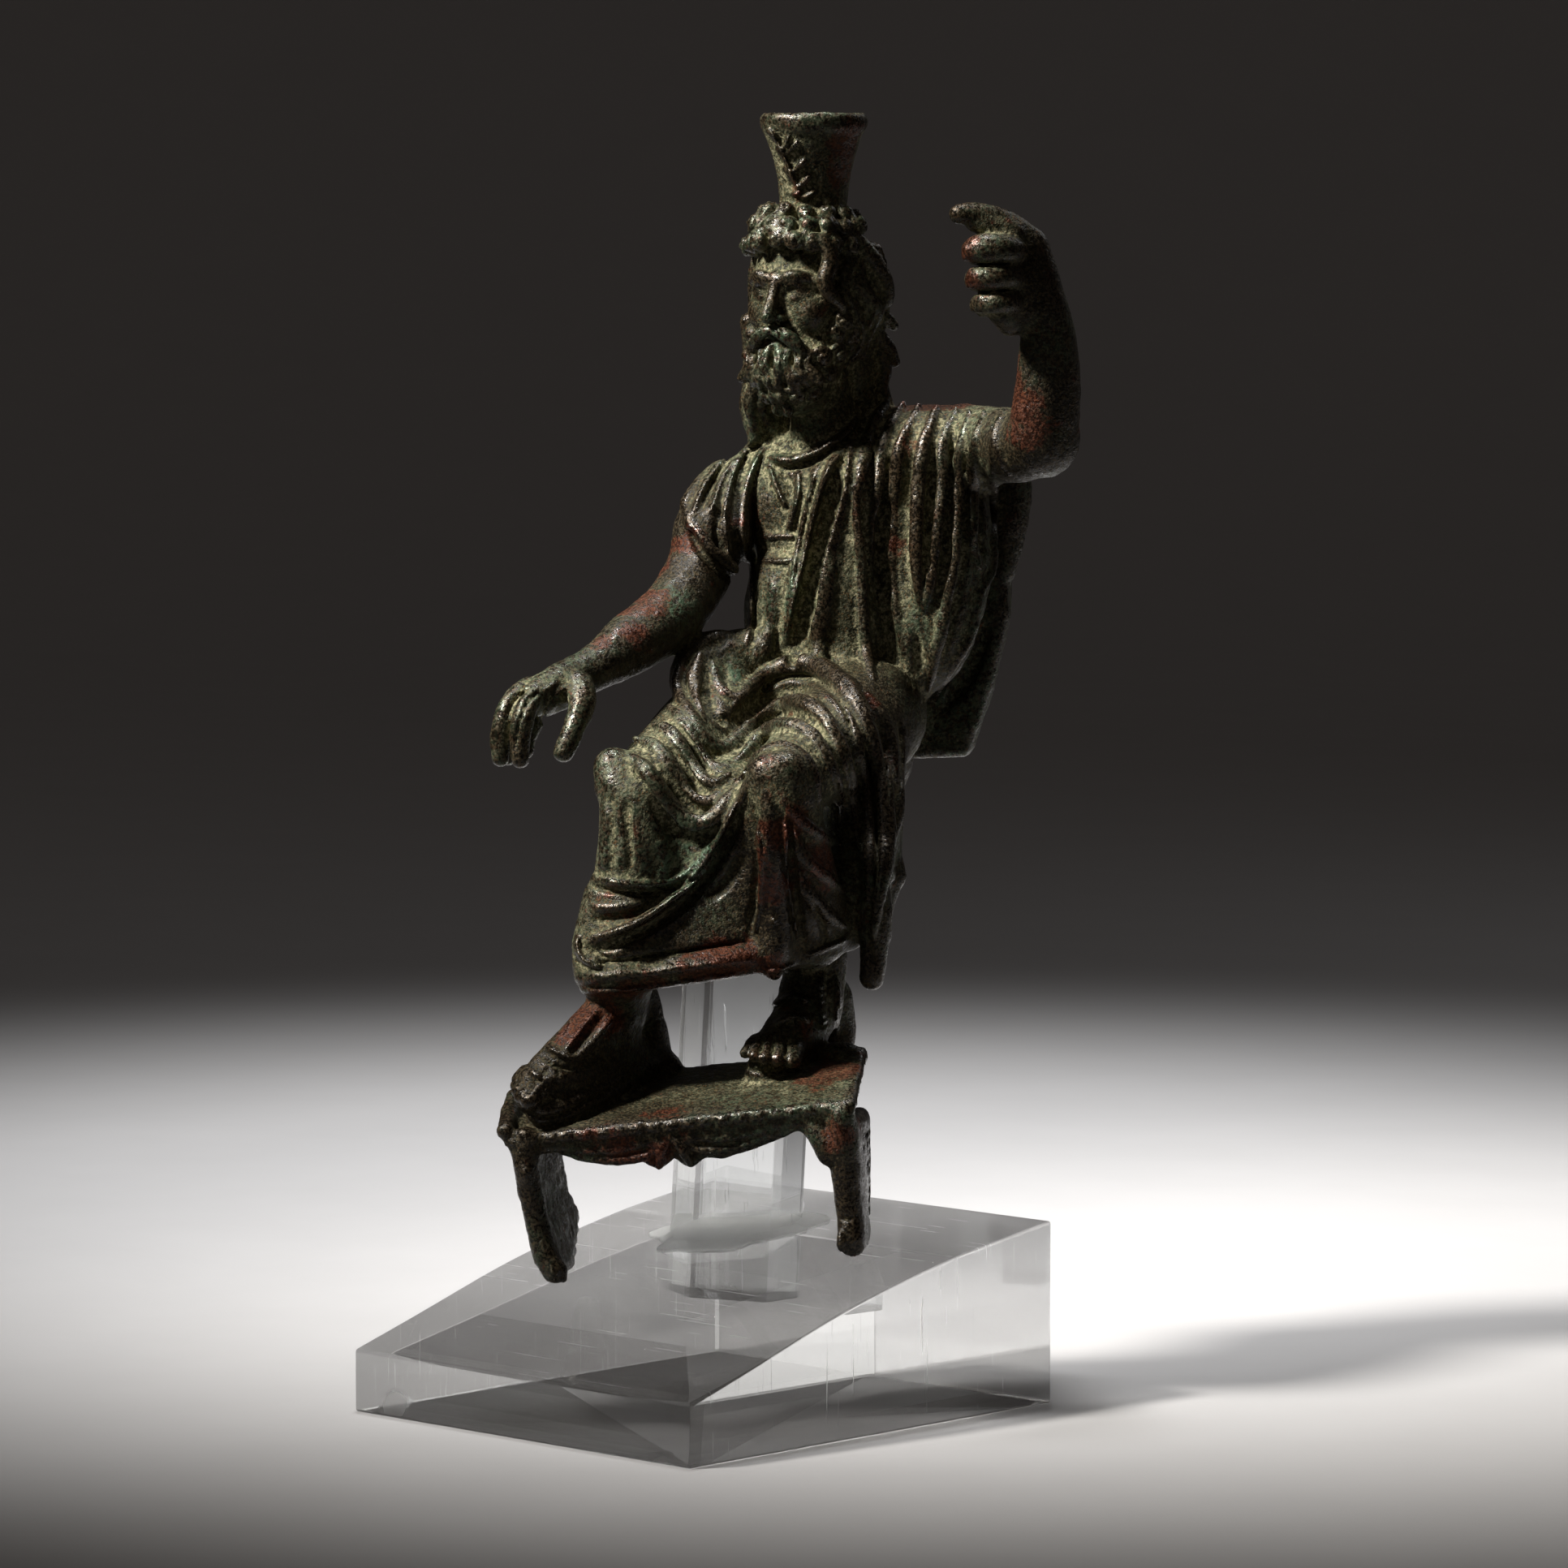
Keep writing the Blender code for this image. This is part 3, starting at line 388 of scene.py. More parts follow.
# scalloped apron with two leaf lobes in the middle
APRON = [(-19.5, -2.2), (-17.6, -3.9), (-15.9, -4.6), (-13.5, -5.4), (-11.0, -6.0), (-8.0, -6.1), (-6.3, -5.9), (-5.0, -6.9), (-3.9, -7.6), (-2.7, -6.9), (-1.5, -6.0),
         (-0.2, -7.2), (0.9, -7.8), (2.1, -7.0), (2.9, -6.5), (5.7, -6.9), (9.3, -6.3), (12.8, -5.3), (17.0, -3.9), (18.7, -4.6), (21.0, -7.5), (22.0, -2.2)]
prism(APRON, ST, SX, SY, SZ, -SHD + 0.3, -SHD + 2.4, k=0.4, r=0.6)
for s in (-1, 1):                          # leaf and tendril carving on the apron
    rows = ((1.6, -3.2, 0.5), (3.6, -4.9, 0.75), (7.0, -5.3, 0.7), (10.5, -4.9, 0.6), (14.0, -4.1, 0.45))
    chain([(*on_stool(-1.5 + s * a, -SHD + 0.25, b), r) for a, b, r in rows], k=0.5)
    rows = ((2.6, -3.2, 0.4), (5.5, -3.7, 0.5), (9.5, -3.8, 0.5), (13.5, -3.4, 0.4))
    chain([(*on_stool(-1.5 + s * a, -SHD + 0.2, b), r) for a, b, r in rows], k=0.4)
    chain([(*on_stool(-1.5 + s * 0.5, -SHD + 0.2, -3.0), 0.5), (*on_stool(-1.5 + s * 1.7, -SHD - 0.1, -5.0), 0.75), (*on_stool(-1.5 + s * 2.3, -SHD + 0.2, -6.9), 0.55)], k=0.3)
    chain([(*on_stool(-1.5 + s * 3.4, -SHD - 0.3, -4.1), 0.3), (*on_stool(-1.5 + s * 8.0, -SHD - 0.3, -4.6), 0.35), (*on_stool(-1.5 + s * 13.0, -SHD - 0.2, -3.8), 0.25)], k=0.3, cut=True)

# left end board: its front column, then its inner face going back to the right
limb([(647, 1402, -5.2, 1.75), (647, 1430, -5.2, 1.85), (650, 1460, -5.2, 1.7), (657, 1495, -5.2, 1.55), (664, 1525, -5.3, 1.6), (673, 1550, -5.8, 1.8), (683, 1566, -6.2, 1.75)], k=0.6)
limb([(648, 1443, -6.6, 1.0), (649, 1449, -6.6, 0.9)], k=0.3)
for i in range(15):
    yv = 1404 + 11.2 * i
    f = np.interp(yv, (1400, 1440, 1500, 1540, 1570), (650, 652, 662, 676, 688))
    b = np.interp(yv, (1400, 1425, 1445, 1481, 1496, 1512, 1537, 1563, 1572), (684, 689, 695, 700, 707, 714, 712, 708, 700)) - 10
    dd = np.interp(yv, (1400, 1480, 1512, 1540, 1572), (15, 16, 19, 15, 5))
    limb([(f, yv, -4.6, 1.35), (b, yv - 0.75 * dd, -4.6 + dd, 1.2)], k=0.7)
for i in range(3):                         # toes of the little paw
    limb([(676 + 6 * i, 1556 + i, -6.9 + 0.5 * i, 0.65), (680 + 6 * i, 1568, -7.6 + 0.6 * i, 0.75), (682 + 6 * i, 1576, -7.2 + 0.6 * i, 0.55)], k=0.25)
# right end board, seen on its tooled outer side
limb([(1036, 1376, -10.6, 2.0), (1038, 1430, -10.6, 1.8), (1043, 1480, -10.6, 1.6), (1047, 1512, -10.8, 1.75), (1049, 1528, -11.2, 1.75)], k=0.6)
limb([(992, 1384, -9.2, 1.1), (1008, 1398, -9.8, 1.7), (1022, 1420, -10.3, 1.9)], k=0.8)
for i in range(14):
    yv = 1388 + 11.2 * i
    limb([(1041 + 0.06 * (yv - 1388), yv, -10.0, 1.75), (1052 + 0.02 * (yv - 1388), yv - 5, -3.0, 1.7), (1058, yv - 11, 5.0 - 0.02 * max(yv - 1450, 0), 1.6)], k=0.8)
for i in range(11):                        # tooled hair
    yv = 1402 + 12 * i
    limb([(1054, yv + 2, -8.6, 0.24), (1063, yv - 3, -2.5, 0.28), (1071, yv - 11, 4.0, 0.22)], k=0.2, cut=True)
for i in range(3):
    limb([(1036 + 9 * i, 1520, -12.2 + 0.6 * i, 0.6), (1036 + 10 * i, 1532, -12.6 + 0.8 * i, 0.75), (1037 + 10 * i, 1539, -12.0 + 0.8 * i, 0.5)], k=0.25)
limb([(1020, 1500, -11.9, 0.35), (1052, 1502, -12.4, 0.35)], k=0.25, cut=True)
limb([(1052, 1303, 9, 1.6), (1040, 1300, 9, 2.0), (1020, 1305, 10, 2.2)], k=1.0)
limb([(634, 1352, 8, 1.3), (627, 1376, 1, 1.3), (622, 1394, -5, 1.2)], k=0.8)

# ---- feet -----------------------------------------------------------------------------
limb([(764, 1195, 8, 4.4), (762, 1240, 8, 4.3), (752, 1275, 8, 4.2)], k=1.2)
limb([(752, 1250, 6.5, 4.0), (722, 1284, 3.6, 4.0), (692, 1312, 0.8, 3.8), (664, 1336, -1.6, 3.2)], k=1.2)
limb([(788, 1292, 12, 3.0), (750, 1300, 8, 4.3), (712, 1318, 3, 4.4), (680, 1335, -0.5, 3.8), (658, 1352, -2.5, 2.7)], k=1.0)
limb([(790, 1230, 12, 2.6), (798, 1265, 12.5, 2.7), (806, 1300, 13, 2.6), (825, 1312, 12, 1.6)], k=1.5)
limb([(812, 1306, 12, 1.8), (760, 1330, 6, 2.6), (705, 1362, -1, 2.9), (668, 1368, -3.5, 2.4)], k=0.6)      # sole
for i, (a, b, y, c, d, e, r) in enumerate(((690, 1322, -1.5, 652, 1358, -6.0, 1.45), (678, 1322, -0.5, 642, 1352, -4.6, 1.15),
                                           (668, 1322, 0.6, 637, 1345, -3.0, 1.05), (660, 1320, 1.8, 636, 1338, -1.2, 1.0),
                                           (655, 1318, 3.0, 637, 1331, 0.8, 0.9))):
    limb([(a, b, y, r), ((a + c) / 2, (b + d) / 2 - 5, (y + e) / 2, r), (c, d, e, r * 0.92)], k=0.35)
    limb([(c + 3, d - 8, e - 0.6, 0.42), (c, d - 3, e - 0.9, 0.5)], k=0.15)
limb([(1003, 1185, 15, 4.8), (1000, 1215, 14, 4.8), (993, 1250, 12, 4.6), (972, 1278, 8, 4.0), (950, 1296, 4.5, 3.0)], k=1.2)
limb([(1020, 1230, 19, 3.6), (1024, 1270, 20, 3.6), (1022, 1300, 18, 3.2)], k=1.2)
limb([(1015, 1318, 15, 2.6), (980, 1322, 9, 3.0), (940, 1322, 4, 2.8)], k=0.7)                               # sole
for i, (a, b, y, c, d, e, r) in enumerate(((985, 1285, 6.5, 976, 1308, 1.2, 1.35), (972, 1283, 6.0, 958, 1307, 0.6, 1.12),
                                           (958, 1282, 6.0, 942, 1305, 0.6, 1.05), (946, 1281, 6.2, 929, 1302, 1.0, 1.0),
                                           (936, 1280, 6.8, 918, 1298, 2.0, 0.95))):
    limb([(a, b, y, r), ((a + c) / 2, (b + d) / 2 - 4, (y + e) / 2 - 0.3, r), (c, d, e, r * 0.92)], k=0.35)

# ---- legs and skirt -------------------------------------------------------------------
limb([(905, 885, 38, 9.0), (852, 925, 22, 7.4), (794, 972, 8, 5.5)], k=2.0)
limb([(1065, 885, 32, 9.0), (1015, 922, 16, 7.4), (964, 972, 1.5, 5.5)], k=2.0)
limb([(980, 905, 35, 8.0), (935, 945, 22, 6.0), (880, 990, 8, 4.8)], k=2.5)
limb([(790, 985, 6.5, 5.6), (786, 1040, 6, 5.5), (776, 1100, 6, 5.4), (770, 1150, 6, 5.6), (762, 1196, 5.5, 5.6)], k=1.5)
limb([(962, 985, 1.5, 5.4), (975, 1050, 3.0, 5.6), (990, 1110, 5.5, 5.6), (1000, 1150, 8.0, 5.2)], k=1.5)
for i in range(7):                         # skirt between the shins
    t = (i + 0.5) / 7
    s = math.sin(math.pi * t)
    limb([(800 + 150 * t, 1000 + 22 * s, 8 - 5 * t + 1.5 * s, 4.6), (795 + 170 * t, 1080, 7 - 3.0 * t + 1.0 * s, 4.6),
          (780 + 200 * t, 1165 - 12 * t, 6 + 0.5 * t - 1.0 * s, 4.6)], k=1.6)
limb([(748, 1110, 6, 3.6), (742, 1150, 5.6, 3.9), (738, 1185, 5.2, 3.9), (736, 1203, 4.8, 2.9)], k=1.5)
limb([(736, 1205, 3.6, 2.2), (790, 1201, 2.4, 2.3), (860, 1190, 1.4, 2.3), (925, 1181, 1.6, 2.3), (985, 1168, 5.5, 2.2), (1040, 1152, 10, 2.2)], k=1.2)
limb([(1052, 885, 30, 8.6), (1060, 940, 22, 6.6), (1063, 1000, 16, 5.8), (1058, 1070, 12.5, 5.0), (1052, 1130, 11, 4.0)], k=2.0)
limb([(1080, 1000, 20, 4.0), (1082, 1075, 17, 3.3), (1076, 1130, 14, 2.6)], k=1.5)
limb([(1096, 1062, 17, 1.6), (1104, 1078, 17, 1.5), (1094, 1096, 16, 1.4)], k=0.8)
limb([(1070, 1060, 9, 2.6), (1077, 1120, 8, 2.7), (1077, 1170, 7.2, 2.1), (1074, 1205, 7, 1.75)], k=0.8)
limb([(940, 960, 36, 8.0), (1000, 930, 42, 9.0), (1060, 930, 40, 8.0)], k=2.0)

# ---- body -----------------------------------------------------------------------------
ball((6.0, 38.0, 98.5), (15.2, 11.0, 10.0), k=2.0, rot=rotz(-20))
ball((5.9, 39.5, 113.0), (12.0, 9.0, 14.5), k=2.0, rot=rotz(-14))
ball((8.6, 43.0, 127.5), (14.6, 9.6, 13.2), k=2.0, rot=rotz(-10))
ball((11.0, 47.0, 114.0), (15.0, 6.5, 20.0), k=2.0)
ball((9.0, 45.0, 98.0), (13.0, 7.5, 8.0), k=2.0)
chain([(-3.6, 46.0, 131.6, 4.8), (3.0, 45.0, 134.8, 5.4), (15.0, 42.5, 137.2, 6.2), (26.0, 39.0, 137.4, 6.6)], k=2.0)
chain([(6.3, 42.0, 137.0, 5.2), (5.4, 39.6, 150.0, 4.8)], k=1.5)
chain([(21.5, 38.0, 136.0, 7.6), (22.8, 36.8, 122.0, 8.2), (21.4, 35.8, 110.0, 6.6), (19.2, 35.4, 104.5, 4.2)], k=1.5)
chain([(10.0, 36.5, 132.0, 6.0), (9.0, 35.5, 118.0, 5.6), (9.0, 34.5, 107.0, 5.0)], k=2.0)
cs, sn = math.cos(math.radians(-9)), math.sin(math.radians(-9))
prism([((P(a, b, 46.5)[0] - 20.0), P(a, b, 46.5)[2]) for a, b in
       ((1036, 934), (1113, 934), (1192, 931), (1199, 922), (1209, 893), (1224, 846), (1238, 790), (1245, 755), (1246, 664), (1256, 650),
        (1262, 615), (1262, 560), (1225, 520), (1000, 500), (910, 560), (930, 760))],
      np.array([20.0, 46.5, 0]), np.array([cs, sn, 0]), np.array([-sn, cs, 0]), ZA, -2.6, 3.2, k=1.0, r=1.2)
limb([(1250, 600, 45, 2.6), (1248, 640, 44.5, 2.4), (1236, 700, 44, 2.0)], k=1.5)

# bunched cloth on the right hip
limb([(886, 806, 34, 2.8), (906, 804, 35, 3.4), (930, 806, 35, 4.0)], k=1.5)
limb([(884, 806, 33, 2.2), (862, 824, 30, 2.8), (858, 850, 27.5, 3.2), (864, 884, 24, 3.4), (880, 908, 21.5, 2.9)], k=1.0)
limb([(898, 808, 33, 2.6), (898, 842, 31.0, 3.2), (902, 880, 27.5, 4.0)], k=1.2)
for rows in ([(908, 788, 34.0, 1.2), (880, 788, 32.5, 1.4), (852, 804, 29.8, 1.6), (838, 832, 27.4, 1.7), (845, 864, 24.4, 1.7), (858, 896, 21.4, 1.75), (876, 914, 19.6, 1.75), (895, 914, 19.8, 1.6), (910, 900, 21.6, 1.3)],
             [(880, 798, 32.5, 1.1), (866, 812, 29.8, 1.2), (859, 838, 27.0, 1.25), (864, 870, 24.0, 1.2), (874, 894, 21.6, 0.9)],
             [(892, 800, 32.0, 1.1), (882, 822, 29.6, 1.3), (886, 848, 27.2, 1.35), (902, 860, 25.4, 1.3), (916, 862, 24.4, 1.0)]):
    limb(rows, k=0.4)

# ---- right arm ------------------------------------------------------------------------
limb([(905, 610, 45, 5.2), (872, 668, 41, 5.0), (860, 706, 38, 5.0), (826, 757, 32, 4.9), (783, 789, 26, 4.6), (741, 818, 20, 3.5), (711, 834, 17, 3.1)], k=0.8)
limb([(934, 596, 46, 5.0), (908, 614, 45.5, 5.1), (888, 638, 43, 5.7), (880, 657, 41, 6.0)], k=1.2)
limb([(890, 592, 44.5, 2.8), (866, 606, 42.5, 2.1), (850, 618, 41, 1.3)], k=1.2)
limb([(846, 622, 40.4, 0.85), (853, 646, 36.4, 1.0), (876, 676, 34.2, 1.05), (904, 701, 35.4, 0.95)], k=0.35)
limb([(711, 834, 17, 3.1), (690, 846, 14, 3.3), (668, 858, 11.5, 3.0)], k=0.6)
limb([(700, 838, 15.5, 2.3), (664, 848, 15.0, 2.0), (640, 858, 14.5, 1.9)], k=0.8)
for a, b, y, c, d, e, f, g, h in ((664, 852, 10.5, 645, 885, 6.6, 641, 936, 6.2), (652, 850, 12.4, 624, 880, 9.0, 616, 934, 8.4),
                                  (652, 852, 14.6, 630, 884, 12.0, 627, 932, 11.2), (668, 862, 16.4, 655, 892, 14.2, 647, 925, 13.4)):
    limb([(a, b, y, 1.9), ((a + c) / 2 - 2, (b + d) / 2 - 6, (y + e) / 2, 1.65), (c, d, e, 1.62), ((c + f) / 2 - 3, (d + g) / 2, (e + h) / 2, 1.5), (f, g, h, 1.22)], k=0.35)
limb([(712, 846, 12.5, 2.4), (718, 868, 9.5, 1.9), (706, 900, 7.5, 1.65), (694, 927, 6.6, 1.5)], k=0.6)

# ---- left arm -------------------------------------------------------------------------
limb([(1195, 552, 38, 6.4), (1232, 548, 31, 5.6), (1262, 548, 22, 5.4), (1284, 538, 17, 5.2)], k=1.2)
limb([(1284, 545, 17, 5.2), (1289, 500, 15.5, 4.95), (1292, 450, 14.5, 4.5), (1290, 405, 13.5, 3.9), (1281, 368, 12.5, 3.7), (1272, 330, 12, 3.4), (1266, 305, 11.5, 3.0)], k=0.8)
limb([(1262, 318, 11.2, 2.9), (1252, 345, 10.5, 3.2), (1256, 375, 11.2, 3.0)], k=1.0)
limb([(1268, 306, 11.6, 2.8), (1249, 284, 10.4, 2.3), (1226, 270, 8.8, 1.85), (1200, 264, 7.4, 1.65), (1182, 264, 6.8, 1.45)], k=0.6)
limb([(1245, 290, 9.0, 2.2), (1216, 278, 7.6, 1.7), (1202, 276, 7.2, 1.3)], k=0.8)
limb([(1232, 300, 8.4, 2.4), (1230, 335, 8.8, 2.8), (1232, 372, 9.4, 2.5), (1246, 396, 11.4, 2.2)], k=0.8)
for a, y0, b, c, y1, r in ((1252, 308, 1209, 307, 5.6, 2.25), (1250, 341, 1212, 342, 5.8, 2.15), (1247, 372, 1217, 373, 6.4, 1.95)):
    limb([(a, y0, 9.4, 2.1), ((a + b) / 2 + 4, y0, 6.2, r * 1.05), (b, c, y1, r), (b - 8, c + 4, y1 + 2.4, r * 0.85), (b + 6, c + 5, y1 + 4.6, r * 0.7)], k=0.3)
limb([(1262, 392, 12.5, 2.4), (1243, 388, 10.0, 1.5)], k=0.8)

# ---- headdress ------------------------------------------------------------------------
turned([(0, 166), (5.0, 166), (4.9, 171.5), (4.95, 174.0), (5.2, 176.8), (5.8, 179.3), (6.45, 181.8), (6.95, 183.3), (7.45, 184.1), (7.9, 184.9), (8.0, 186.0),
        (7.75, 186.8), (7.1, 187.15), (6.5, 186.7), (5.9, 185.7), (0, 185.3)], (4.4, 38.5), k=0.3)

# ---- head -----------------------------------------------------------------------------
HC = np.array([3.7, 39.5, 160.0])
ta = math.radians(34.0)
HX = np.array([math.cos(ta), -math.sin(ta), 0.0])       # the figure's left
HF = np.array([math.sin(ta), math.cos(ta), 0.0])        # towards the back of the head
HR = np.array([HX, HF, ZA])


def hd(x, y, z):
    return HC + HX * x + HF * y + ZA * z


def hchain(rows, k=0.4, cut=False, **kw):
    chain([(*hd(a, b, c), r) for a, b, c, r in rows], k=k, cut=cut, **kw)


def hball(c, r, k=0.5, cut=False):
    ball(hd(*c), r, k=k, cut=cut, rot=HR)


# a plain classical face by thirds: brow to nose base to chin are equal, an eye's width between the eyes
BROW, NOSE, CHIN, EYE = 3.4, -3.8, -11.0, 1.0
hball((0, 1.5, 3.0), (8.3, 9.6, 9.6), k=1.0)
hball((0, -2.6, -1.6), (7.1, 6.1, 9.4), k=2.0)
hball((0, 2.6, 0.2), (9.5, 8.4, 11.6), k=0.6)            # the mass of the hair
hball((0, 4.4, -8.0), (7.6, 6.2, 7.5), k=1.5)
for s in (-1, 1):
    hball((3.15 * s, -10.2, EYE), (2.15, 2.2, 1.45), k=0.9, cut=True)
    hball((3.1 * s, -7.2, EYE - 0.1), (1.75, 1.35, 1.25), k=0.12)
    hchain([(1.45 * s, -8.25, EYE - 0.25, 0.3), (2.3 * s, -8.7, EYE + 0.85, 0.36), (3.4 * s, -8.65, EYE + 1.0, 0.36), (4.9 * s, -7.3, EYE - 0.15, 0.3)], k=0.15)
    hchain([(1.6 * s, -8.15, EYE - 0.45, 0.26), (3.0 * s, -8.4, EYE - 1.15, 0.3), (4.7 * s, -7.2, EYE - 0.4, 0.25)], k=0.15)
    hchain([(0.9 * s, -8.7, BROW - 0.9, 0.8), (2.9 * s, -8.75, BROW - 0.05, 0.85), (5.6 * s, -6.6, BROW - 0.9, 0.7)], k=0.9)
    hball((4.1 * s, -6.0, -2.0), (2.3, 2.0, 2.5), k=1.6)
    hball((1.2 * s, -9.5, NOSE + 0.75), (0.85, 0.95, 0.75), k=0.45)
    hball((0.75 * s, -10.2, NOSE - 0.05), (0.4, 0.5, 0.35), k=0.2, cut=True)
    # moustache, a full lock each side, with strands
    hchain([(0.3 * s, -9.9, NOSE - 1.0, 0.7), (1.7 * s, -9.9, NOSE - 1.45, 1.0), (3.3 * s, -9.2, NOSE - 2.5, 1.1), (4.3 * s, -8.5, NOSE - 4.0, 0.9), (4.4 * s, -8.3, NOSE - 5.4, 0.6)], k=0.25)
    hchain([(0.9 * s, -10.75, NOSE - 1.15, 0.2), (2.2 * s, -10.75, NOSE - 1.8, 0.22), (3.5 * s, -10.1, NOSE - 3.0, 0.22), (4.3 * s, -9.3, NOSE - 4.4, 0.2)], k=0.15, cut=True)
    hchain([(1.2 * s, -10.3, NOSE - 0.7, 0.2), (2.9 * s, -10.2, NOSE - 1.5, 0.2), (4.3 * s, -9.2, NOSE - 3.0, 0.2)], k=0.15, cut=True)
hchain([(0, -8.6, BROW - 0.4, 0.95), (0, -9.5, EYE - 0.6, 0.85), (0, -10.7, NOSE + 1.7, 1.0), (0, -11.0, NOSE + 0.95, 1.05)], k=0.6)

# beard: a full mass under rows of snail curls
hball((0, -2.8, -8.8), (7.3, 6.4, 5.6), k=0.5)
hball((0, -3.2, -13.0), (5.3, 4.9, 4.3), k=1.2)
hball((0, -9.0, NOSE - 2.75), (2.0, 1.1, 1.0), k=0.3, cut=True)
hball((0, -8.7, NOSE - 3.1), (1.55, 1.0, 0.62), k=0.15)
hball((0, -8.6, NOSE - 2.1), (1.5, 1.0, 0.45), k=0.15)


def curl(c, out, r, turns=1.3, spin=1, k=0.2):
    """Snail curl: a coiled lock round a point, on a small mound."""
    out = np.asarray(out, float) / np.linalg.norm(out)
    side = np.cross(out, ZA)
    side /= max(np.linalg.norm(side), 1e-6)
    up = np.cross(side, out)
    ball(c - out * r * 0.35, (r * 0.9,) * 3, k=0.3)
    rows = []
    n = 13
    for i in range(n):
        t = i / (n - 1)
        a = spin * 2 * math.pi * turns * t + 0.7
        rr = r * (0.80 - 0.68 * t)
        q = c + side * math.cos(a) * rr + up * math.sin(a) * rr + out * (0.16 * r + 0.50 * r * t)
        rows.append((*q, r * (0.33 - 0.06 * t)))
    chain(rows, k=k, smooth=False)


for i, (x0, x1, z1) in enumerate(((0.9, 1.0, -14.2), (2.4, 2.9, -13.8), (3.9, 4.8, -12.8), (5.3, 6.3, -11.4))):
    for s in (-1, 1):
        w = 0.45 * (-1) ** i
        yy = -9.6 + 0.30 * x0 ** 1.45 * 0.5
        hchain([(x0 * s, yy + 0.2, -7.7 - 0.12 * i, 0.7), ((x0 + w) * s, yy - 0.3, -9.8, 0.95), ((x1 - w) * s, yy + 0.4, -12.0, 0.9), (x1 * s, yy + 1.3, z1, 0.6)], k=0.25)
        hchain([(x0 * s, yy - 0.5, -8.2, 0.2), ((x0 + w) * s, yy - 1.2, -9.8, 0.22), ((x1 - w) * s, yy - 0.5, -12.0, 0.22)], k=0.12, cut=True)
rs = np.random.RandomState(7)
for count, z, rx, ry, cy, cz_r, r, span in ((6, -6.4, 8.0, 7.2, -1.6, 0, 1.45, 100), (8, -9.3, 7.3, 6.9, -2.6, 0, 1.65, 88), (7, -12.1, 6.3, 6.2, -2.9, 0, 1.65, 84), (5, -14.7, 4.7, 4.9, -3.2, 0, 1.55, 74), (2, -16.6, 2.4, 3.6, -3.4, 0, 1.25, 26)):
    for i in range(count):
        t = -1 + 2 * (i + 0.5) / count
        a = math.radians(span * t) * 1.08
        if count == 6:
            a = math.radians((42 + 29 * abs(int(3 * t + (1 if t > 0 else -1)) - (1 if t > 0 else -1))) * (1 if t > 0 else -1))
        j = rs.uniform(-0.22, 0.22, 3)
        if z > -11 and abs(a) < math.radians(52):
            continue
        c = hd(rx * math.sin(a) + j[0], cy - ry * math.cos(a), z + 0.9 * math.sin(a) ** 2 + j[1])
        o = HX * math.sin(a) - HF * math.cos(a) - ZA * (0.15 if z > -14 else 0.7)
        curl(c, o, r * rs.uniform(0.9, 1.1), turns=1.25, spin=1 if a > 0 else -1)
hchain([(0, -10.4, -11.2, 0.4), (0, -9.6, -14.5, 0.55), (0, -7.6, -17.2, 0.6)], k=0.4, cut=True)

for row, (count, z, rx, ry, r, span) in enumerate(((9, 8.4, 8.8, 9.2, 1.75, 86), (10, 10.9, 8.0, 8.2, 1.75, 104), (13, 13.0, 6.6, 6.6, 1.45, 180))):
    for i in range(count):                 # curls piled over the brow and round the headdress
        a = math.radians(span * (-1 + 2 * (i + 0.5) / count))
        j = rs.uniform(-0.35, 0.35, 3)
        zz = z - 0.6 * abs(math.sin(a)) + j[0]
        c = hd(rx * math.sin(a) + j[1], 0.4 - ry * math.cos(a), zz)
        o = HX * math.sin(a) - HF * math.cos(a) + ZA * (0.1 + 0.35 * row)
        curl(c, o, r * rs.uniform(0.85, 1.15), spin=1 if rs.rand() < 0.5 else -1)


def lock(phi, z0, z1, amp, waves, r0, r1, shift=0.0, strands=True):
    """A wavy lock down the hair's mass. phi: degrees from the face, + is the figure's left."""
    rows, n = [], 12
    for i in range(n):
        t = i / (n - 1)
        w = math.sin(2 * math.pi * waves * t + shift)
        a = math.radians(phi) + amp * w
        z = z0 + (z1 - z0) * t
        q = math.sqrt(max(1 - (z / 12.4) ** 2, 0.42))
        rows.append((9.7 * q * math.sin(a), 2.6 - 8.6 * q * math.cos(a), z, r0 + (r1 - r0) * t + 0.12 * w))
    hchain(rows, k=0.2)
    if strands:
        for off in (-0.055, 0.06):
            cut_rows = []
            for x, y, z, r in rows:
                a = math.atan2(x, 2.6 - y) + off
                d = math.hypot(x, y - 2.6) + r * 0.86
                cut_rows.append((d * math.sin(a), 2.6 - d * math.cos(a), z, 0.26))
            hchain(cut_rows, k=0.15, cut=True)


for s in (-1, 1):
    for i, phi in enumerate((60, 76, 92, 108, 124, 141, 158, 175)):
        if s < 0 and phi == 175:
            continue
        lock(s * phi, 9.0 - 0.02 * phi, -6.0 - (0.07 * (phi - 60) if phi > 60 else 0), 0.11, 1.3, 1.55, 1.25, shift=i * 1.4 + (s > 0))
    for i, phi in enumerate((70, 100, 130, 160)):
        lock(s * phi, -4.0, -13.5, 0.10, 0.9, 1.45, 0.8, shift=i * 1.1)
    curl(hd(8.4 * s, -3.4, -3.6), HX * s - HF * 0.5, 1.5, spin=s)
# the fall of hair on the neck, under the free locks
limb([(1046, 400, 40, 3.2), (1050, 440, 41, 3.6), (1058, 476, 42.5, 3.4), (1066, 506, 43.5, 3.2)], k=1.0)
limb([(950, 400, 43, 3.0), (948, 440, 44.5, 3.6), (946, 480, 45.5, 3.6), (950, 524, 46, 3.2)], k=1.0)
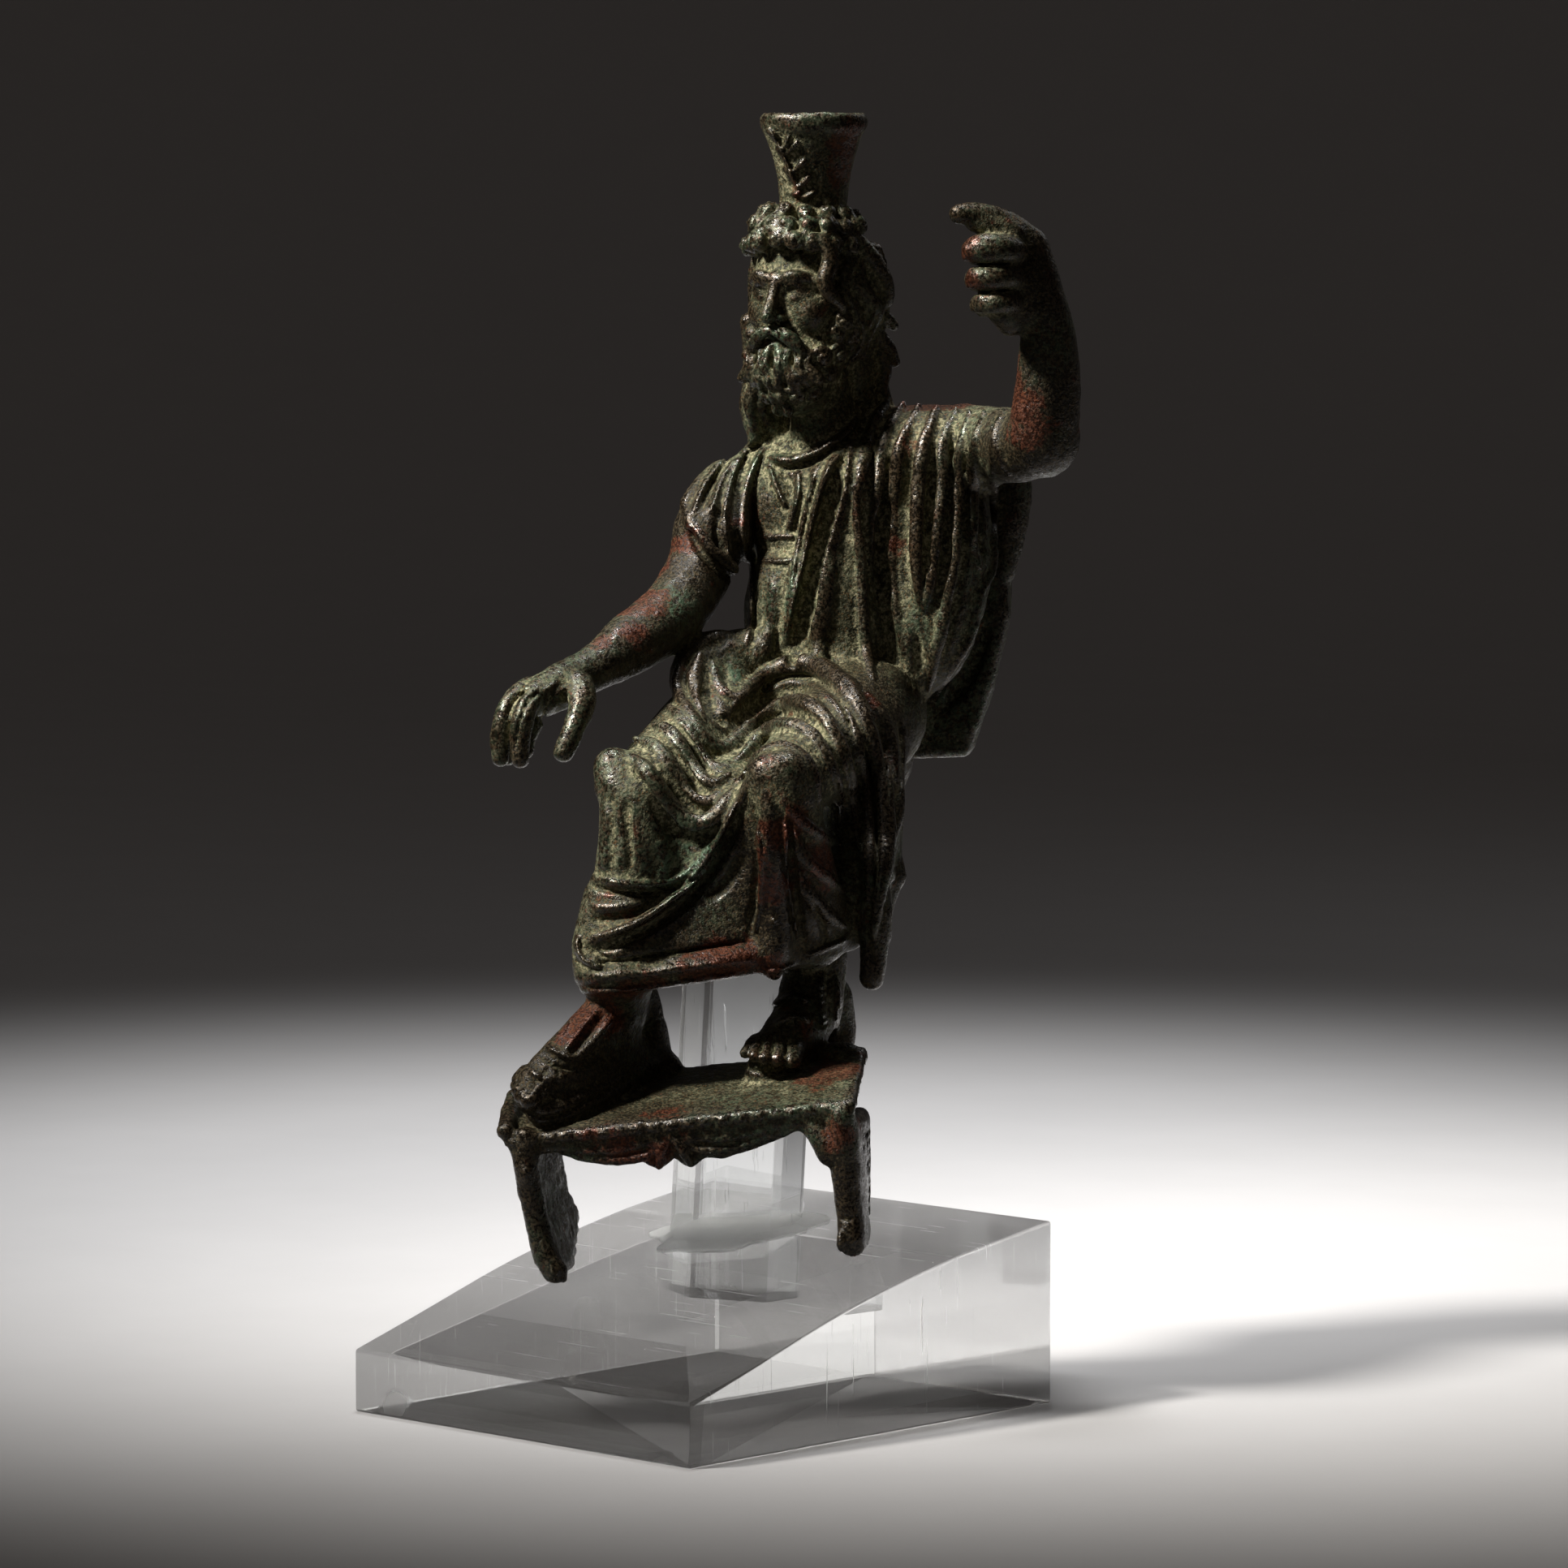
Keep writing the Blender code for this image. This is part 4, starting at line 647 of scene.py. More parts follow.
# free locks on the figure's left, towards the view's right
limb([(1050, 290, 34.6, 1.2), (1070, 314, 35.4, 1.45), (1088, 344, 37.2, 1.45), (1090, 370, 38.2, 1.3), (1074, 374, 36.8, 1.0)], k=0.3)
limb([(1044, 346, 33.4, 1.1), (1062, 360, 34.4, 1.35), (1078, 384, 36.2, 1.3), (1070, 398, 36.2, 1.0)], k=0.3)
limb([(1066, 392, 37.0, 1.2), (1086, 389, 38.6, 1.25), (1101, 401, 39.8, 0.8)], k=0.3)
limb([(1050, 408, 37.0, 1.4), (1074, 412, 38.6, 1.5), (1093, 428, 40.0, 1.25), (1103, 446, 41.0, 0.8)], k=0.3)
limb([(1056, 415, 39.5, 2.0), (1072, 446, 41.0, 2.0), (1080, 474, 42.0, 1.7), (1088, 500, 43.0, 1.6)], k=0.5)
limb([(1078, 424, 39.0, 0.9), (1090, 450, 40.6, 1.1), (1086, 476, 41.4, 1.0), (1094, 500, 42.4, 0.8)], k=0.25)
limb([(1014, 296, 30.6, 1.1), (1023, 322, 30.6, 1.35), (1016, 345, 30.0, 1.2), (1023, 364, 30.4, 1.1), (1036, 376, 31.4, 0.9), (1042, 392, 32.8, 0.6)], k=0.3)
# and the lock that falls behind the right shoulder
limb([(926, 400, 42.0, 1.6), (932, 432, 43.0, 2.1), (934, 470, 43.8, 2.3), (928, 503, 44.4, 2.1), (936, 534, 45.0, 1.8)], k=0.5)
limb([(927, 440, 41.0, 0.9), (931, 470, 41.7, 1.1), (924, 500, 42.4, 1.1), (931, 526, 43.2, 0.8)], k=0.2)
limb([(940, 436, 40.4, 0.8), (946, 464, 41.2, 1.0), (938, 496, 42.2, 1.0), (944, 520, 43.2, 0.8)], k=0.2)

# ---- the mantle's rolls round the lap ----------------------------------------------------
look()
R1 = ((905, 872), (916, 856), (930, 841), (952, 827), (975, 820), (1000, 820), (1024, 832), (1046, 854), (1064, 888), (1076, 925), (1086, 965), (1090, 1010), (1088, 1060), (1082, 1110), (1076, 1150))
stroke(R1, (11, 14, 15, 15, 14, 13, 11), sink=-0.25, k=0.45)
stroke(((1052, 842), (1074, 868), (1092, 905), (1100, 950), (1104, 1000), (1098, 1040)), (9, 12, 12, 9), sink=0.4, k=1.0)
stroke(((1040, 870), (1054, 905), (1064, 950), (1070, 1000), (1072, 1050), (1070, 1110)), (6, 9, 10, 10, 8), sink=0.15, k=0.5)
stroke(((846, 806), (836, 824), (834, 846), (845, 874), (856, 898), (872, 918), (892, 924), (908, 912), (922, 896), (944, 880), (968, 870), (992, 868), (1014, 886), (1032, 918), (1044, 962), (1050, 1005), (1056, 1050)), (8, 11, 12, 13, 12, 12, 12, 10), sink=-0.05, k=0.45)
stroke(((862, 806), (855, 838), (860, 872), (868, 894)), (8, 10, 9, 6), sink=0.0, k=0.4)
stroke(((878, 816), (884, 846), (900, 860), (914, 858)), (7, 9, 9, 6), sink=0.0, k=0.4)
stroke(((904, 940), (922, 924), (938, 906), (958, 896), (982, 896), (1004, 912), (1020, 940), (1032, 975), (1038, 1005)), (8, 11, 11, 10, 8), sink=0.0, k=0.45)
stroke(((916, 950), (934, 934), (950, 924), (968, 922), (988, 932), (1002, 956), (1010, 985)), (7, 9, 9, 7), sink=0.1, k=0.45)
stroke(((946, 952), (970, 950)), 24, sink=0.72, k=1.8, ends=(1, 1))
stroke(((756, 946), (758, 966)), 25, sink=0.75, k=1.8, ends=(1, 1))
# swags across the right thigh
stroke(((764, 930), (788, 941), (812, 976), (834, 1004), (858, 1016), (882, 1008), (902, 982), (918, 952)), (10, 13, 14, 14, 9), sink=-0.1, k=0.45)
stroke(((782, 910), (806, 920), (828, 950), (848, 978), (868, 990), (888, 982), (906, 960)), (9, 12, 12, 8), sink=0.1, k=0.45)
stroke(((804, 892), (824, 902), (842, 932), (860, 958), (878, 968), (900, 952)), (9, 12, 11, 7), sink=0.1, k=0.45)
stroke(((824, 870), (838, 886), (852, 914), (868, 938), (886, 946)), (8, 11, 10, 6), sink=0.1, k=0.45)
# hollows between them
stroke(((898, 908), (914, 884), (934, 866), (954, 856), (978, 850), (1000, 850)), (9, 14, 16, 15, 9), k=0.5, cut=True)
stroke(((1010, 856), (1034, 884), (1048, 920), (1056, 965)), (7, 10, 10, 7), k=0.45, cut=True)
stroke(((872, 838), (876, 872), (890, 886), (902, 880)), (9, 13, 12, 7), k=0.4, cut=True)
stroke(((914, 912), (930, 898), (950, 884), (972, 880), (992, 884), (1010, 902), (1024, 935)), (5, 8, 9, 8, 5), k=0.4, cut=True)
stroke(((802, 986), (828, 1020), (856, 1034), (884, 1026), (906, 1000)), (6, 10, 12, 7), k=0.45, cut=True)
stroke(((800, 930), (822, 962), (846, 992), (866, 1000), (888, 994)), (5, 8, 9, 6), k=0.4, cut=True)
stroke(((822, 914), (840, 944), (858, 970), (876, 978)), (5, 8, 8, 5), k=0.4, cut=True)
stroke(((838, 896), (852, 924), (868, 948), (884, 954)), (5, 7, 7, 5), k=0.4, cut=True)
# fold hanging from the left knee, with its slot, and the slanting folds beside it
stroke(((946, 980), (950, 1040), (954, 1100), (954, 1150), (952, 1196)), (13, 17, 20, 23, 26), sink=0.35, k=0.6)
stroke(((966, 985), (986, 1012), (1010, 1030), (1036, 1040)), (8, 10, 9, 6), sink=0.15, k=0.5)
stroke(((968, 1012), (984, 1048), (1008, 1076), (1040, 1098)), (8, 11, 10, 7), sink=0.1, k=0.45)
stroke(((976, 1060), (992, 1096), (1014, 1124), (1042, 1142)), (8, 11, 10, 7), sink=0.15, k=0.5)
stroke(((953, 1056), (954, 1090), (953, 1128)), (5, 7.5, 7), k=0.3, cut=True)
stroke(((928, 985), (934, 1050), (931, 1110), (922, 1160)), (5, 8, 9, 8), k=0.4, cut=True)
stroke(((972, 1010), (974, 1070), (982, 1130), (990, 1176)), (5, 8, 9, 6), k=0.4, cut=True)
stroke(((1046, 1000), (1052, 1050), (1055, 1100), (1055, 1140)), (3, 5, 5, 4), k=0.6, cut=True)
stroke(((1084, 1062), (1092, 1072), (1098, 1084)), (7, 9, 7), sink=0.3, k=0.7)

# ---- pleats from the left shoulder -----------------------------------------------------
look()
stroke(((1054, 536), (1040, 576), (1028, 636), (1019, 700), (1012, 760), (1010, 812)), (10, 16, 19, 20, 20), sink=0.45, k=0.6)
stroke(((1092, 496), (1072, 536), (1062, 578), (1057, 612)), (9, 11, 7), sink=0.0, k=0.35)
stroke(((1053, 600), (1058, 650), (1062, 700), (1063, 760), (1068, 806), (1076, 842)), (6, 8, 8, 9, 8), sink=0.0, k=0.35)
stroke(((1112, 498), (1092, 544), (1082, 590), (1080, 640)), (9, 11, 8), sink=0.0, k=0.35)
stroke(((1132, 500), (1112, 546), (1103, 600), (1099, 660), (1100, 710), (1106, 756), (1114, 806)), (9, 11, 11, 9, 7), sink=0.0, k=0.35)
stroke(((1154, 502), (1139, 546), (1132, 600), (1130, 660), (1131, 710), (1135, 750)), (9, 11, 11, 7), sink=0.0, k=0.35)
stroke(((1178, 504), (1162, 548), (1160, 600), (1155, 660), (1148, 712), (1140, 754)), (8, 10, 10, 7), sink=0.0, k=0.35)
stroke(((1194, 508), (1184, 556), (1179, 620), (1176, 690), (1166, 750), (1152, 812), (1144, 852)), (8, 10, 10, 9, 7), sink=0.0, k=0.35)
stroke(((1212, 508), (1202, 560), (1196, 620), (1198, 668), (1208, 702)), (8, 10, 10, 5), sink=0.0, k=0.35)
stroke(((1222, 522), (1224, 570), (1222, 640), (1222, 700), (1206, 734), (1196, 782), (1174, 822), (1154, 856)), (6, 7, 7, 7, 6), sink=0.0, k=0.3)
stroke(((1238, 504), (1228, 534), (1232, 564), (1242, 584)), (6, 8, 6), sink=0.0, k=0.35)
for pts, w in ((((1044, 552), (1020, 620), (1002, 690), (990, 740), (980, 790), (974, 818)), (7, 12, 14, 14, 11)),
               (((1079, 552), (1070, 590), (1068, 640), (1074, 690), (1080, 750)), (3, 5, 7, 7, 5)),
               (((1102, 552), (1092, 600), (1088, 660), (1088, 720), (1092, 780)), (4, 6, 8, 9, 6)),
               (((1124, 556), (1117, 620), (1114, 680), (1119, 738)), (4, 6, 6, 5)),
               (((1150, 552), (1146, 620), (1142, 680), (1139, 722)), (4, 6, 5, 3)),
               (((1171, 556), (1168, 620), (1164, 690), (1154, 748)), (3, 5, 6, 4)),
               (((1192, 552), (1188, 620), (1187, 690), (1178, 750), (1163, 806)), (3, 4, 6, 6, 4)),
               (((1211, 596), (1209, 650), (1214, 690)), (4, 6, 4)),
               (((1126, 776), (1132, 820), (1118, 852)), (5, 8, 5)),
               (((1214, 742), (1208, 790), (1188, 836), (1166, 872)), (6, 9, 10, 8))):
    stroke(pts, [1.35 * a for a in w], k=0.3, cut=True)

# ---- finer work -------------------------------------------------------------------------
look()
# neckline and lapel, with the dark fold tucked under it
paint(((942, 566), (958, 565), (976, 566), (1004, 556), (1040, 534), (1064, 508)), 6.5, 0.9, True)
paint(((952, 576), (972, 578), (1000, 570), (1024, 556)), 5, -0.45)
paint(((947, 570), (953, 590), (962, 612), (970, 628)), 5, 0.75)
paint(((962, 580), (972, 598), (976, 620)), 7, -0.6)
paint(((982, 574), (984, 600), (978, 630), (968, 660)), 6, 0.5)
paint(((1008, 566), (998, 600), (988, 640), (978, 700), (970, 760)), 7, 0.55)
paint(((1032, 548), (1014, 592), (1000, 640), (990, 690), (976, 750), (966, 800)), 6, 0.65)
paint(((1000, 586), (988, 630), (976, 680)), 4, -0.4)
paint(((934, 534), (914, 562), (899, 600), (892, 645)), 8, 0.65)
paint(((948, 540), (932, 566), (920, 602), (916, 656), (922, 704)), 6.5, 0.6)
paint(((925, 548), (907, 590), (903, 650)), 4.5, -0.55)
paint(((940, 560), (929, 602), (928, 652), (931, 702), (931, 762), (925, 812)), 3.4, -0.5)
paint(((936, 562), (924, 604), (922, 652), (925, 702), (925, 762), (917, 806)), 4, 0.4)
paint(((912, 560), (890, 590), (874, 636)), 7, 0.55)
paint(((900, 562), (880, 590), (862, 630)), 4.5, -0.5)
paint(((888, 570), (866, 600), (852, 634)), 6, 0.5)
paint(((902, 600), (894, 640), (900, 690)), 6, 0.5)
paint(((890, 620), (882, 650), (884, 678)), 4.5, -0.5)
paint(((848, 650), (866, 684), (892, 708), (906, 712)), 6, -0.7)
paint(((908, 660), (912, 690), (918, 720)), 4, -0.4)
paint(((936, 663), (962, 661), (986, 662)), 4.5, 0.5)
paint(((935, 691), (960, 691), (984, 689)), 4.5, 0.5)
paint(((936, 677), (960, 677), (984, 676)), 6, -0.3)
paint(((950, 705), (948, 760), (944, 812)), 10, 0.3)
paint(((968, 700), (962, 750), (956, 806)), 5, -0.25)
# crest lines and shallow hollows on the rolls
paint(((936, 850), (956, 838), (980, 832), (1004, 836), (1024, 852), (1042, 880), (1054, 920)), 2.6, -0.4)
paint(((1070, 872), (1084, 905), (1092, 950), (1096, 1000)), 2.6, -0.4)
paint(((1060, 905), (1072, 950), (1078, 1000), (1080, 1060), (1076, 1110)), 3.5, -0.5)
paint(((1106, 880), (1110, 930), (1108, 985)), 4, -0.35)
for a0, b0 in ((1030, 900), (1016, 926)):
    paint(((a0, b0), (a0 + 14, b0 + 34), (a0 + 20, b0 + 76)), 3, -0.35)
paint(((772, 944), (796, 968), (820, 1000)), 3, -0.3)
# the shin cloth, its seam and the mantle's lower edge
paint(((745, 985), (744, 1035), (742, 1080)), 12, 0.5)
paint(((772, 985), (776, 1035), (776, 1080)), 10, -0.5)
paint(((812, 1030), (820, 1062), (812, 1086)), 14, 0.35)
paint(((722, 1090), (760, 1099), (800, 1101), (838, 1094), (864, 1074), (884, 1044), (902, 1012), (914, 978)), 4.5, -0.9)
paint(((722, 1078), (760, 1088), (800, 1090), (836, 1082), (860, 1062), (880, 1034), (898, 1004)), 7, 0.5)
paint(((720, 1160), (752, 1150), (786, 1136), (820, 1114), (848, 1090), (870, 1062), (890, 1028), (908, 992), (920, 960)), 6, 1.1, True)
paint(((722, 1174), (760, 1164), (800, 1146), (836, 1122), (864, 1094), (886, 1060), (904, 1024), (916, 990)), 8, -0.9)
paint(((724, 1136), (756, 1132), (790, 1120), (826, 1098)), 8, -0.45)
paint(((724, 1118), (760, 1118), (800, 1112)), 8, 0.4)
paint(((714, 1150), (710, 1166), (720, 1184), (744, 1192)), 6, 0.8)
paint(((722, 1164), (736, 1176), (756, 1182)), 4, -0.5)
paint(((712, 1190), (760, 1184), (820, 1176), (880, 1166), (922, 1160)), 3.5, -0.7)
paint(((706, 1206), (760, 1203), (820, 1196), (880, 1187), (930, 1180)), 13, 0.55)
paint(((708, 1222), (760, 1221), (820, 1214), (880, 1205), (928, 1198)), 4, 0.5)
paint(((870, 1110), (900, 1080), (914, 1050)), 14, -0.5)
paint(((930, 1010), (937, 1060), (935, 1110), (927, 1160)), 4, 0.5)
paint(((968, 1010), (970, 1070), (977, 1120), (986, 1170)), 4, 0.5)
paint(((944, 1020), (944, 1060)), 5, 0.35)
paint(((953, 1130), (953, 1140)), 4, 0.9)
paint(((934, 1200), (960, 1196), (984, 1186)), 5, 0.45)
paint(((990, 1180), (1020, 1168), (1046, 1156)), 5, 0.5)
paint(((1002, 1110), (1012, 1140), (1016, 1164)), 6, -0.35)
paint(((1060, 1130), (1072, 1160), (1078, 1190)), 5, -0.35)
# headdress: a leafy spray up the front
paint(((992, 252), (984, 236), (976, 216), (968, 198), (960, 180), (948, 160)), 2.8, 0.75)
for a0, b0, a1, b1 in ((980, 236, 999, 214), (976, 226, 964, 204), (974, 214, 993, 196), (968, 200, 954, 180), (966, 192, 984, 172), (956, 176, 943, 158),
                   (988, 246, 1006, 234), (962, 188, 972, 166), (984, 240, 972, 240)):
    mx, my = (a0 + a1) / 2, (b0 + b1) / 2
    paint(((a0, b0), (mx + 2, my - 1), (a1, b1)), (2.4, 5.2, 2.2), 0.85)
    paint(((a0, b0), (mx + 2, my - 1), (a1, b1)), 1.4, -0.4)
# feet: straps, tongue and hatching
for pts, w, h in ((((740, 1240), (716, 1268), (692, 1300)), 6.5, 0.5), (((756, 1252), (734, 1280), (708, 1306)), 6.5, 0.45), (((747, 1248), (724, 1276), (700, 1302)), 3.0, -0.28),
                  (((672, 1288), (690, 1298), (712, 1306)), 5.5, 0.9), (((664, 1302), (684, 1314), (708, 1318)), 4, -0.5), (((650, 1318), (670, 1328), (694, 1330)), 5, 0.6),
                  (((694, 1294), (700, 1298)), 7, 0.9), (((676, 1314), (664, 1336)), 3, -0.4), (((690, 1318), (680, 1340)), 3, -0.4),
                  (((640, 1368), (680, 1376), (730, 1352), (790, 1322)), 3.5, -0.5), (((1010, 1200), (1012, 1232), (1016, 1268)), 8, 0.7),
                  (((950, 1262), (975, 1252), (1000, 1258)), 5, 0.7), (((946, 1240), (972, 1228), (1000, 1234)), 5, 0.7), (((985, 1210), (983, 1240), (978, 1270)), 3, -0.5),
                  (((1030, 1200), (1034, 1240), (1030, 1280)), 5, 0.5), (((912, 1314), (950, 1322), (990, 1318)), 3, -0.5)):
    paint(pts, w, h)
for i in range(7):
    paint(((1003, 1206 + 9 * i), (1012, 1211 + 9 * i), (1022, 1206 + 9 * i)), 2.4, -0.5)
for pts in (((956, 1276), (950, 1300)), ((970, 1278), (966, 1304)), ((942, 1274), (936, 1298)), ((662, 1330), (650, 1348)), ((674, 1334), (662, 1354))):
    paint(pts, 2.4, -0.5)
# knuckles and tendons of the hands
for pts in (((668, 850), (650, 866), (640, 892), (634, 930)), ((655, 846), (632, 866), (622, 892)), ((684, 850), (672, 872), (664, 900))):
    paint(pts, 2.6, -0.45)
for pts in (((690, 838), (668, 852)), ((700, 844), (682, 858))):
    paint(pts, 4, 0.3)
for yv in (325, 358, 386):
    paint(((1184, yv), (1214, yv + 2), (1246, yv)), 3, -0.5)
paint(((1186, 300), (1192, 312), (1186, 322)), 4, 0.3)
emboss(gain=1.5)

# rough cast skin: soft uneven pitting
def noise(shape_pts, scale, seed):
    r = np.random.RandomState(seed)
    n = 32
    lat = r.rand(n, n, n).astype(np.float32)
    g = [np.mod(v / scale, n) for v in shape_pts]
    i0 = [q.astype(int) for q in g]
    f = [q - i for q, i in zip(g, i0)]
    f = [q * q * (3 - 2 * q) for q in f]
    out = 0
    for a in (0, 1):
        for b in (0, 1):
            for c in (0, 1):
                w = (f[0] if a else 1 - f[0]) * (f[1] if b else 1 - f[1]) * (f[2] if c else 1 - f[2])
                out = out + w * lat[(i0[0] + a) % n, (i0[1] + b) % n, (i0[2] + c) % n]
    return out - 0.5


i, j, k = np.nonzero(np.abs(D) < 1.2)
pts = AX[0][i], AX[1][j], AX[2][k]
calm = np.clip((pts[2] - 146.0) / 5.0, 0, 1) * np.clip((172.0 - pts[2]) / 4.0, 0, 1) * 0.65       # less on the head
D[i, j, k] += ((0.17 * noise(pts, 1.3, 3) + 0.22 * noise(pts, 3.1, 5) + 0.13 * noise(pts, 0.8, 9)) * (1 - calm)).astype(np.float32)

# cut clear of the post, whose top is housed under the lap
POST_FOOT, POST_LEAN, POST_YAW, POST_TOP = np.array([-7.4, 20.6]), math.radians(2.9), math.radians(-6.0), 91.0
POST_W, POST_FLAT, POST_D = 19.5, 11.5, 13.5
lean = np.array(Matrix.Rotation(POST_LEAN, 3, "Y") @ Matrix.Rotation(POST_YAW, 3, "Z"))
po = np.array([POST_FOOT[0], POST_FOOT[1], 18.0])
g = 0.3
w_, f_, d_ = POST_W / 2 + g, POST_FLAT / 2 + g * 0.5, POST_D / 2 + g
# prism() takes its outline in (ex, ez), so the bar's length runs along ey
prism([(-w_, 0), (-f_, -d_), (f_, -d_), (w_, 0), (f_, d_), (-f_, d_)], po, lean[:, 0], lean[:, 2], lean[:, 1], -13.0, POST_TOP + g - 18.0, k=0.2, cut=True, r=0.05)

# ---- skin -------------------------------------------------------------------------------
D[0, :, :] = D[-1, :, :] = D[:, 0, :] = D[:, -1, :] = 4.0
D[:, :, 0] = D[:, :, -1] = 4.0
grid = vdb.FloatGrid(4.0)
grid.copyFromArray(np.clip(D, -4, 4))
verts, quads = grid.convertToQuads(0.0)
verts = verts * H + LO
yaw = FIGURE_YAW
rot = np.array([[math.cos(yaw), -math.sin(yaw), 0], [math.sin(yaw), math.cos(yaw), 0], [0, 0, 1]])


def to_world(v):
    return (v @ rot.T + FIGURE_AT) * MM


def to_figure(v):
    return (v / MM - FIGURE_AT) @ rot


def raw_mesh(name, v, f):
    me = bpy.data.meshes.new(name)
    me.vertices.add(len(v))
    me.vertices.foreach_set("co", np.asarray(v, np.float32).ravel())
    n = f.shape[1]
    me.loops.add(f.size)
    me.loops.foreach_set("vertex_index", np.asarray(f, np.int32).ravel())
    me.polygons.add(len(f))
    me.polygons.foreach_set("loop_start", np.arange(0, f.size, n, dtype=np.int32))
    me.update(calc_edges=True)
    me.validate()
    return me


def biggest(n, f):
    """Faces of the largest connected body."""
    lab = np.arange(n)
    e = np.vstack([f[:, [0, 1]], f[:, [1, 2]], f[:, [2, 3]], f[:, [3, 0]]])
    while True:
        m = np.minimum(lab[e[:, 0]], lab[e[:, 1]])
        new = lab.copy()
        np.minimum.at(new, e[:, 0], m)
        np.minimum.at(new, e[:, 1], m)
        new = new[new]
        new = new[new]
        if (new == lab).all():
            break
        lab = new
    root = np.bincount(lab).argmax()
    return f[lab[f[:, 0]] == root]


quads = biggest(len(verts), quads)
used = np.unique(quads)
renum = np.full(len(verts), -1)
renum[used] = np.arange(len(used))
verts, quads = verts[used], renum[quads]
me = raw_mesh("bronze_skin", to_world(verts), quads)
ob = bpy.data.objects.new("bronze_serapis", me)
bpy.context.scene.collection.objects.link(ob)
tris = 2 * len(quads)
LIMIT = 196000
if tris > LIMIT:
    m = ob.modifiers.new("thin_out", "DECIMATE")
    m.ratio = LIMIT / tris
    bpy.context.view_layer.update()
    out = bpy.data.meshes.new_from_object(ob.evaluated_get(bpy.context.evaluated_depsgraph_get()))
    ob.modifiers.clear()
    ob.data = out
    bpy.data.meshes.remove(me)
me = ob.data
vol = bmesh.new()
vol.from_mesh(me)
if vol.calc_volume(signed=True) < 0:
    bmesh.ops.reverse_faces(vol, faces=vol.faces)
    vol.to_mesh(me)
vol.free()
me.polygons.foreach_set("use_smooth", np.ones(len(me.polygons), bool))
print("bronze tris", len(me.polygons), "from", tris)

# hollows and ridges, for dirt and wear
co = np.empty(len(me.vertices) * 3, np.float32)
me.vertices.foreach_get("co", co)
fig = to_figure(co.reshape(-1, 3).astype(float))


def blur(f, r, times=2):
    n = max(1, int(round(r / H)))
    for _ in range(times):
        for ax in range(3):
            c = np.cumsum(np.concatenate([np.repeat(np.take(f, [0], ax), n + 1, ax), f, np.repeat(np.take(f, [-1], ax), n, ax)], ax), ax, dtype=np.float32)
            hi = [slice(None)] * 3
            lo = [slice(None)] * 3
            hi[ax] = slice(2 * n + 1, None)
            lo[ax] = slice(0, -(2 * n + 1))
            f = (c[tuple(hi)] - c[tuple(lo)]) / (2 * n + 1)
    return f


Dc = np.clip(D, -2.5, 2.5)
fine = sample(blur(Dc, 0.8), *fig.T) - sample(Dc, *fig.T)
RED = [(*P(835, 680, 37), 3.2), (*P(820, 700, 35), 2.4), (*P(1120, 498, 40), 3.0), (*P(1148, 500, 39), 3.4), (*P(1180, 503, 38), 2.4), (*P(1262, 505, 14), 4.2), (*P(1272, 530, 13), 4.4),
       (*P(1258, 485, 14), 2.6), (*P(1322, 520, 16), 2.2), (*P(770, 1212, 2), 3.0), (*P(740, 1220, 2), 2.6), (*P(810, 1205, 1), 3.2), (*P(850, 1195, 0), 3.2), (*P(885, 1190, 0), 3.4), (*P(920, 1185, 0), 3.0), (*P(945, 1190, 0), 2.8),
       (*P(725, 1255, 3), 3.2), (*P(745, 1260, 3), 3.0), (*P(700, 1275, 0), 2.2), (*P(700, 1366, 3), 2.4), (*P(820, 1362, -5), 3.0), (*P(1000, 1340, -2), 4.0), (*P(1020, 1332, 2), 3.2), (*P(1050, 1325, 2), 2.6),
       (*P(760, 1420, -9), 4.2), (*P(800, 1430, -9), 3.4), (*P(725, 1410, -9), 3.0), (*P(950, 1040, -4), 3.4), (*P(948, 1100, -2), 3.4), (*P(1000, 1060, 0), 4.0), (*P(985, 1010, -3), 3.0), (*P(1060, 880, 18), 2.4),
       (*P(1052, 180, 34), 4.0), (*P(1045, 215, 34), 3.6), (*P(1010, 385, 32), 1.8), (*P(800, 745, 28), 3.0), (*P(770, 750, 26), 2.6), (*P(775, 790, 22), 2.6), (*P(740, 785, 18), 2.2), (*P(1100, 670, 30), 2.4),
       (*P(1190, 300, 5), 2.0), (*P(1186, 318, 5), 2.0), (*P(1195, 345, 5), 1.6), (*P(958, 590, 30), 1.4), (*P(912, 640, 36), 1.4), (*P(780, 1020, 0), 1.6), (*P(1030, 1395, -12), 2.6), (*P(1060, 1380, -8), 2.2),
       (12.0, 53.0, 120.0, 4.0), (15.0, 53.0, 116.0, 3.5), (22.0, 52.0, 104.0, 3.5), (2.0, 49.0, 96.0, 4.0), (-15.0, 12.0, 70.0, 5.0), (5.0, 20.0, 75.0, 4.0), (6.0, 50.0, 160.0, 4.0), (-28.0, 8.0, 40.0, 4.0)]
red = np.zeros(len(fig), np.float32)
for x, y, z, r in RED:
    d = np.sqrt((fig[:, 0] - x) ** 2 + (fig[:, 1] - y) ** 2 + (fig[:, 2] - z) ** 2)
    red = np.maximum(red, np.clip(1.25 - d / (r * 1.25), 0, 1))
GREEN = [(*P(850, 1050, 1), 5.0), (*P(830, 1070, 1), 4.0), (*P(990, 265, 30), 3.0), (*P(930, 560, 36), 4.5), (*P(955, 740, 30), 5.0), (*P(970, 600, 32), 3.5), (*P(980, 520, 36), 3.5), (*P(950, 420, 30), 4.0), (*P(1230, 530, 30), 3.0),
         (*P(900, 830, 28), 3.0), (*P(870, 960, 14), 4.0), (*P(820, 740, 28), 3.0), (*P(1140, 760, 30), 3.0)]
green = np.zeros(len(fig), np.float32)
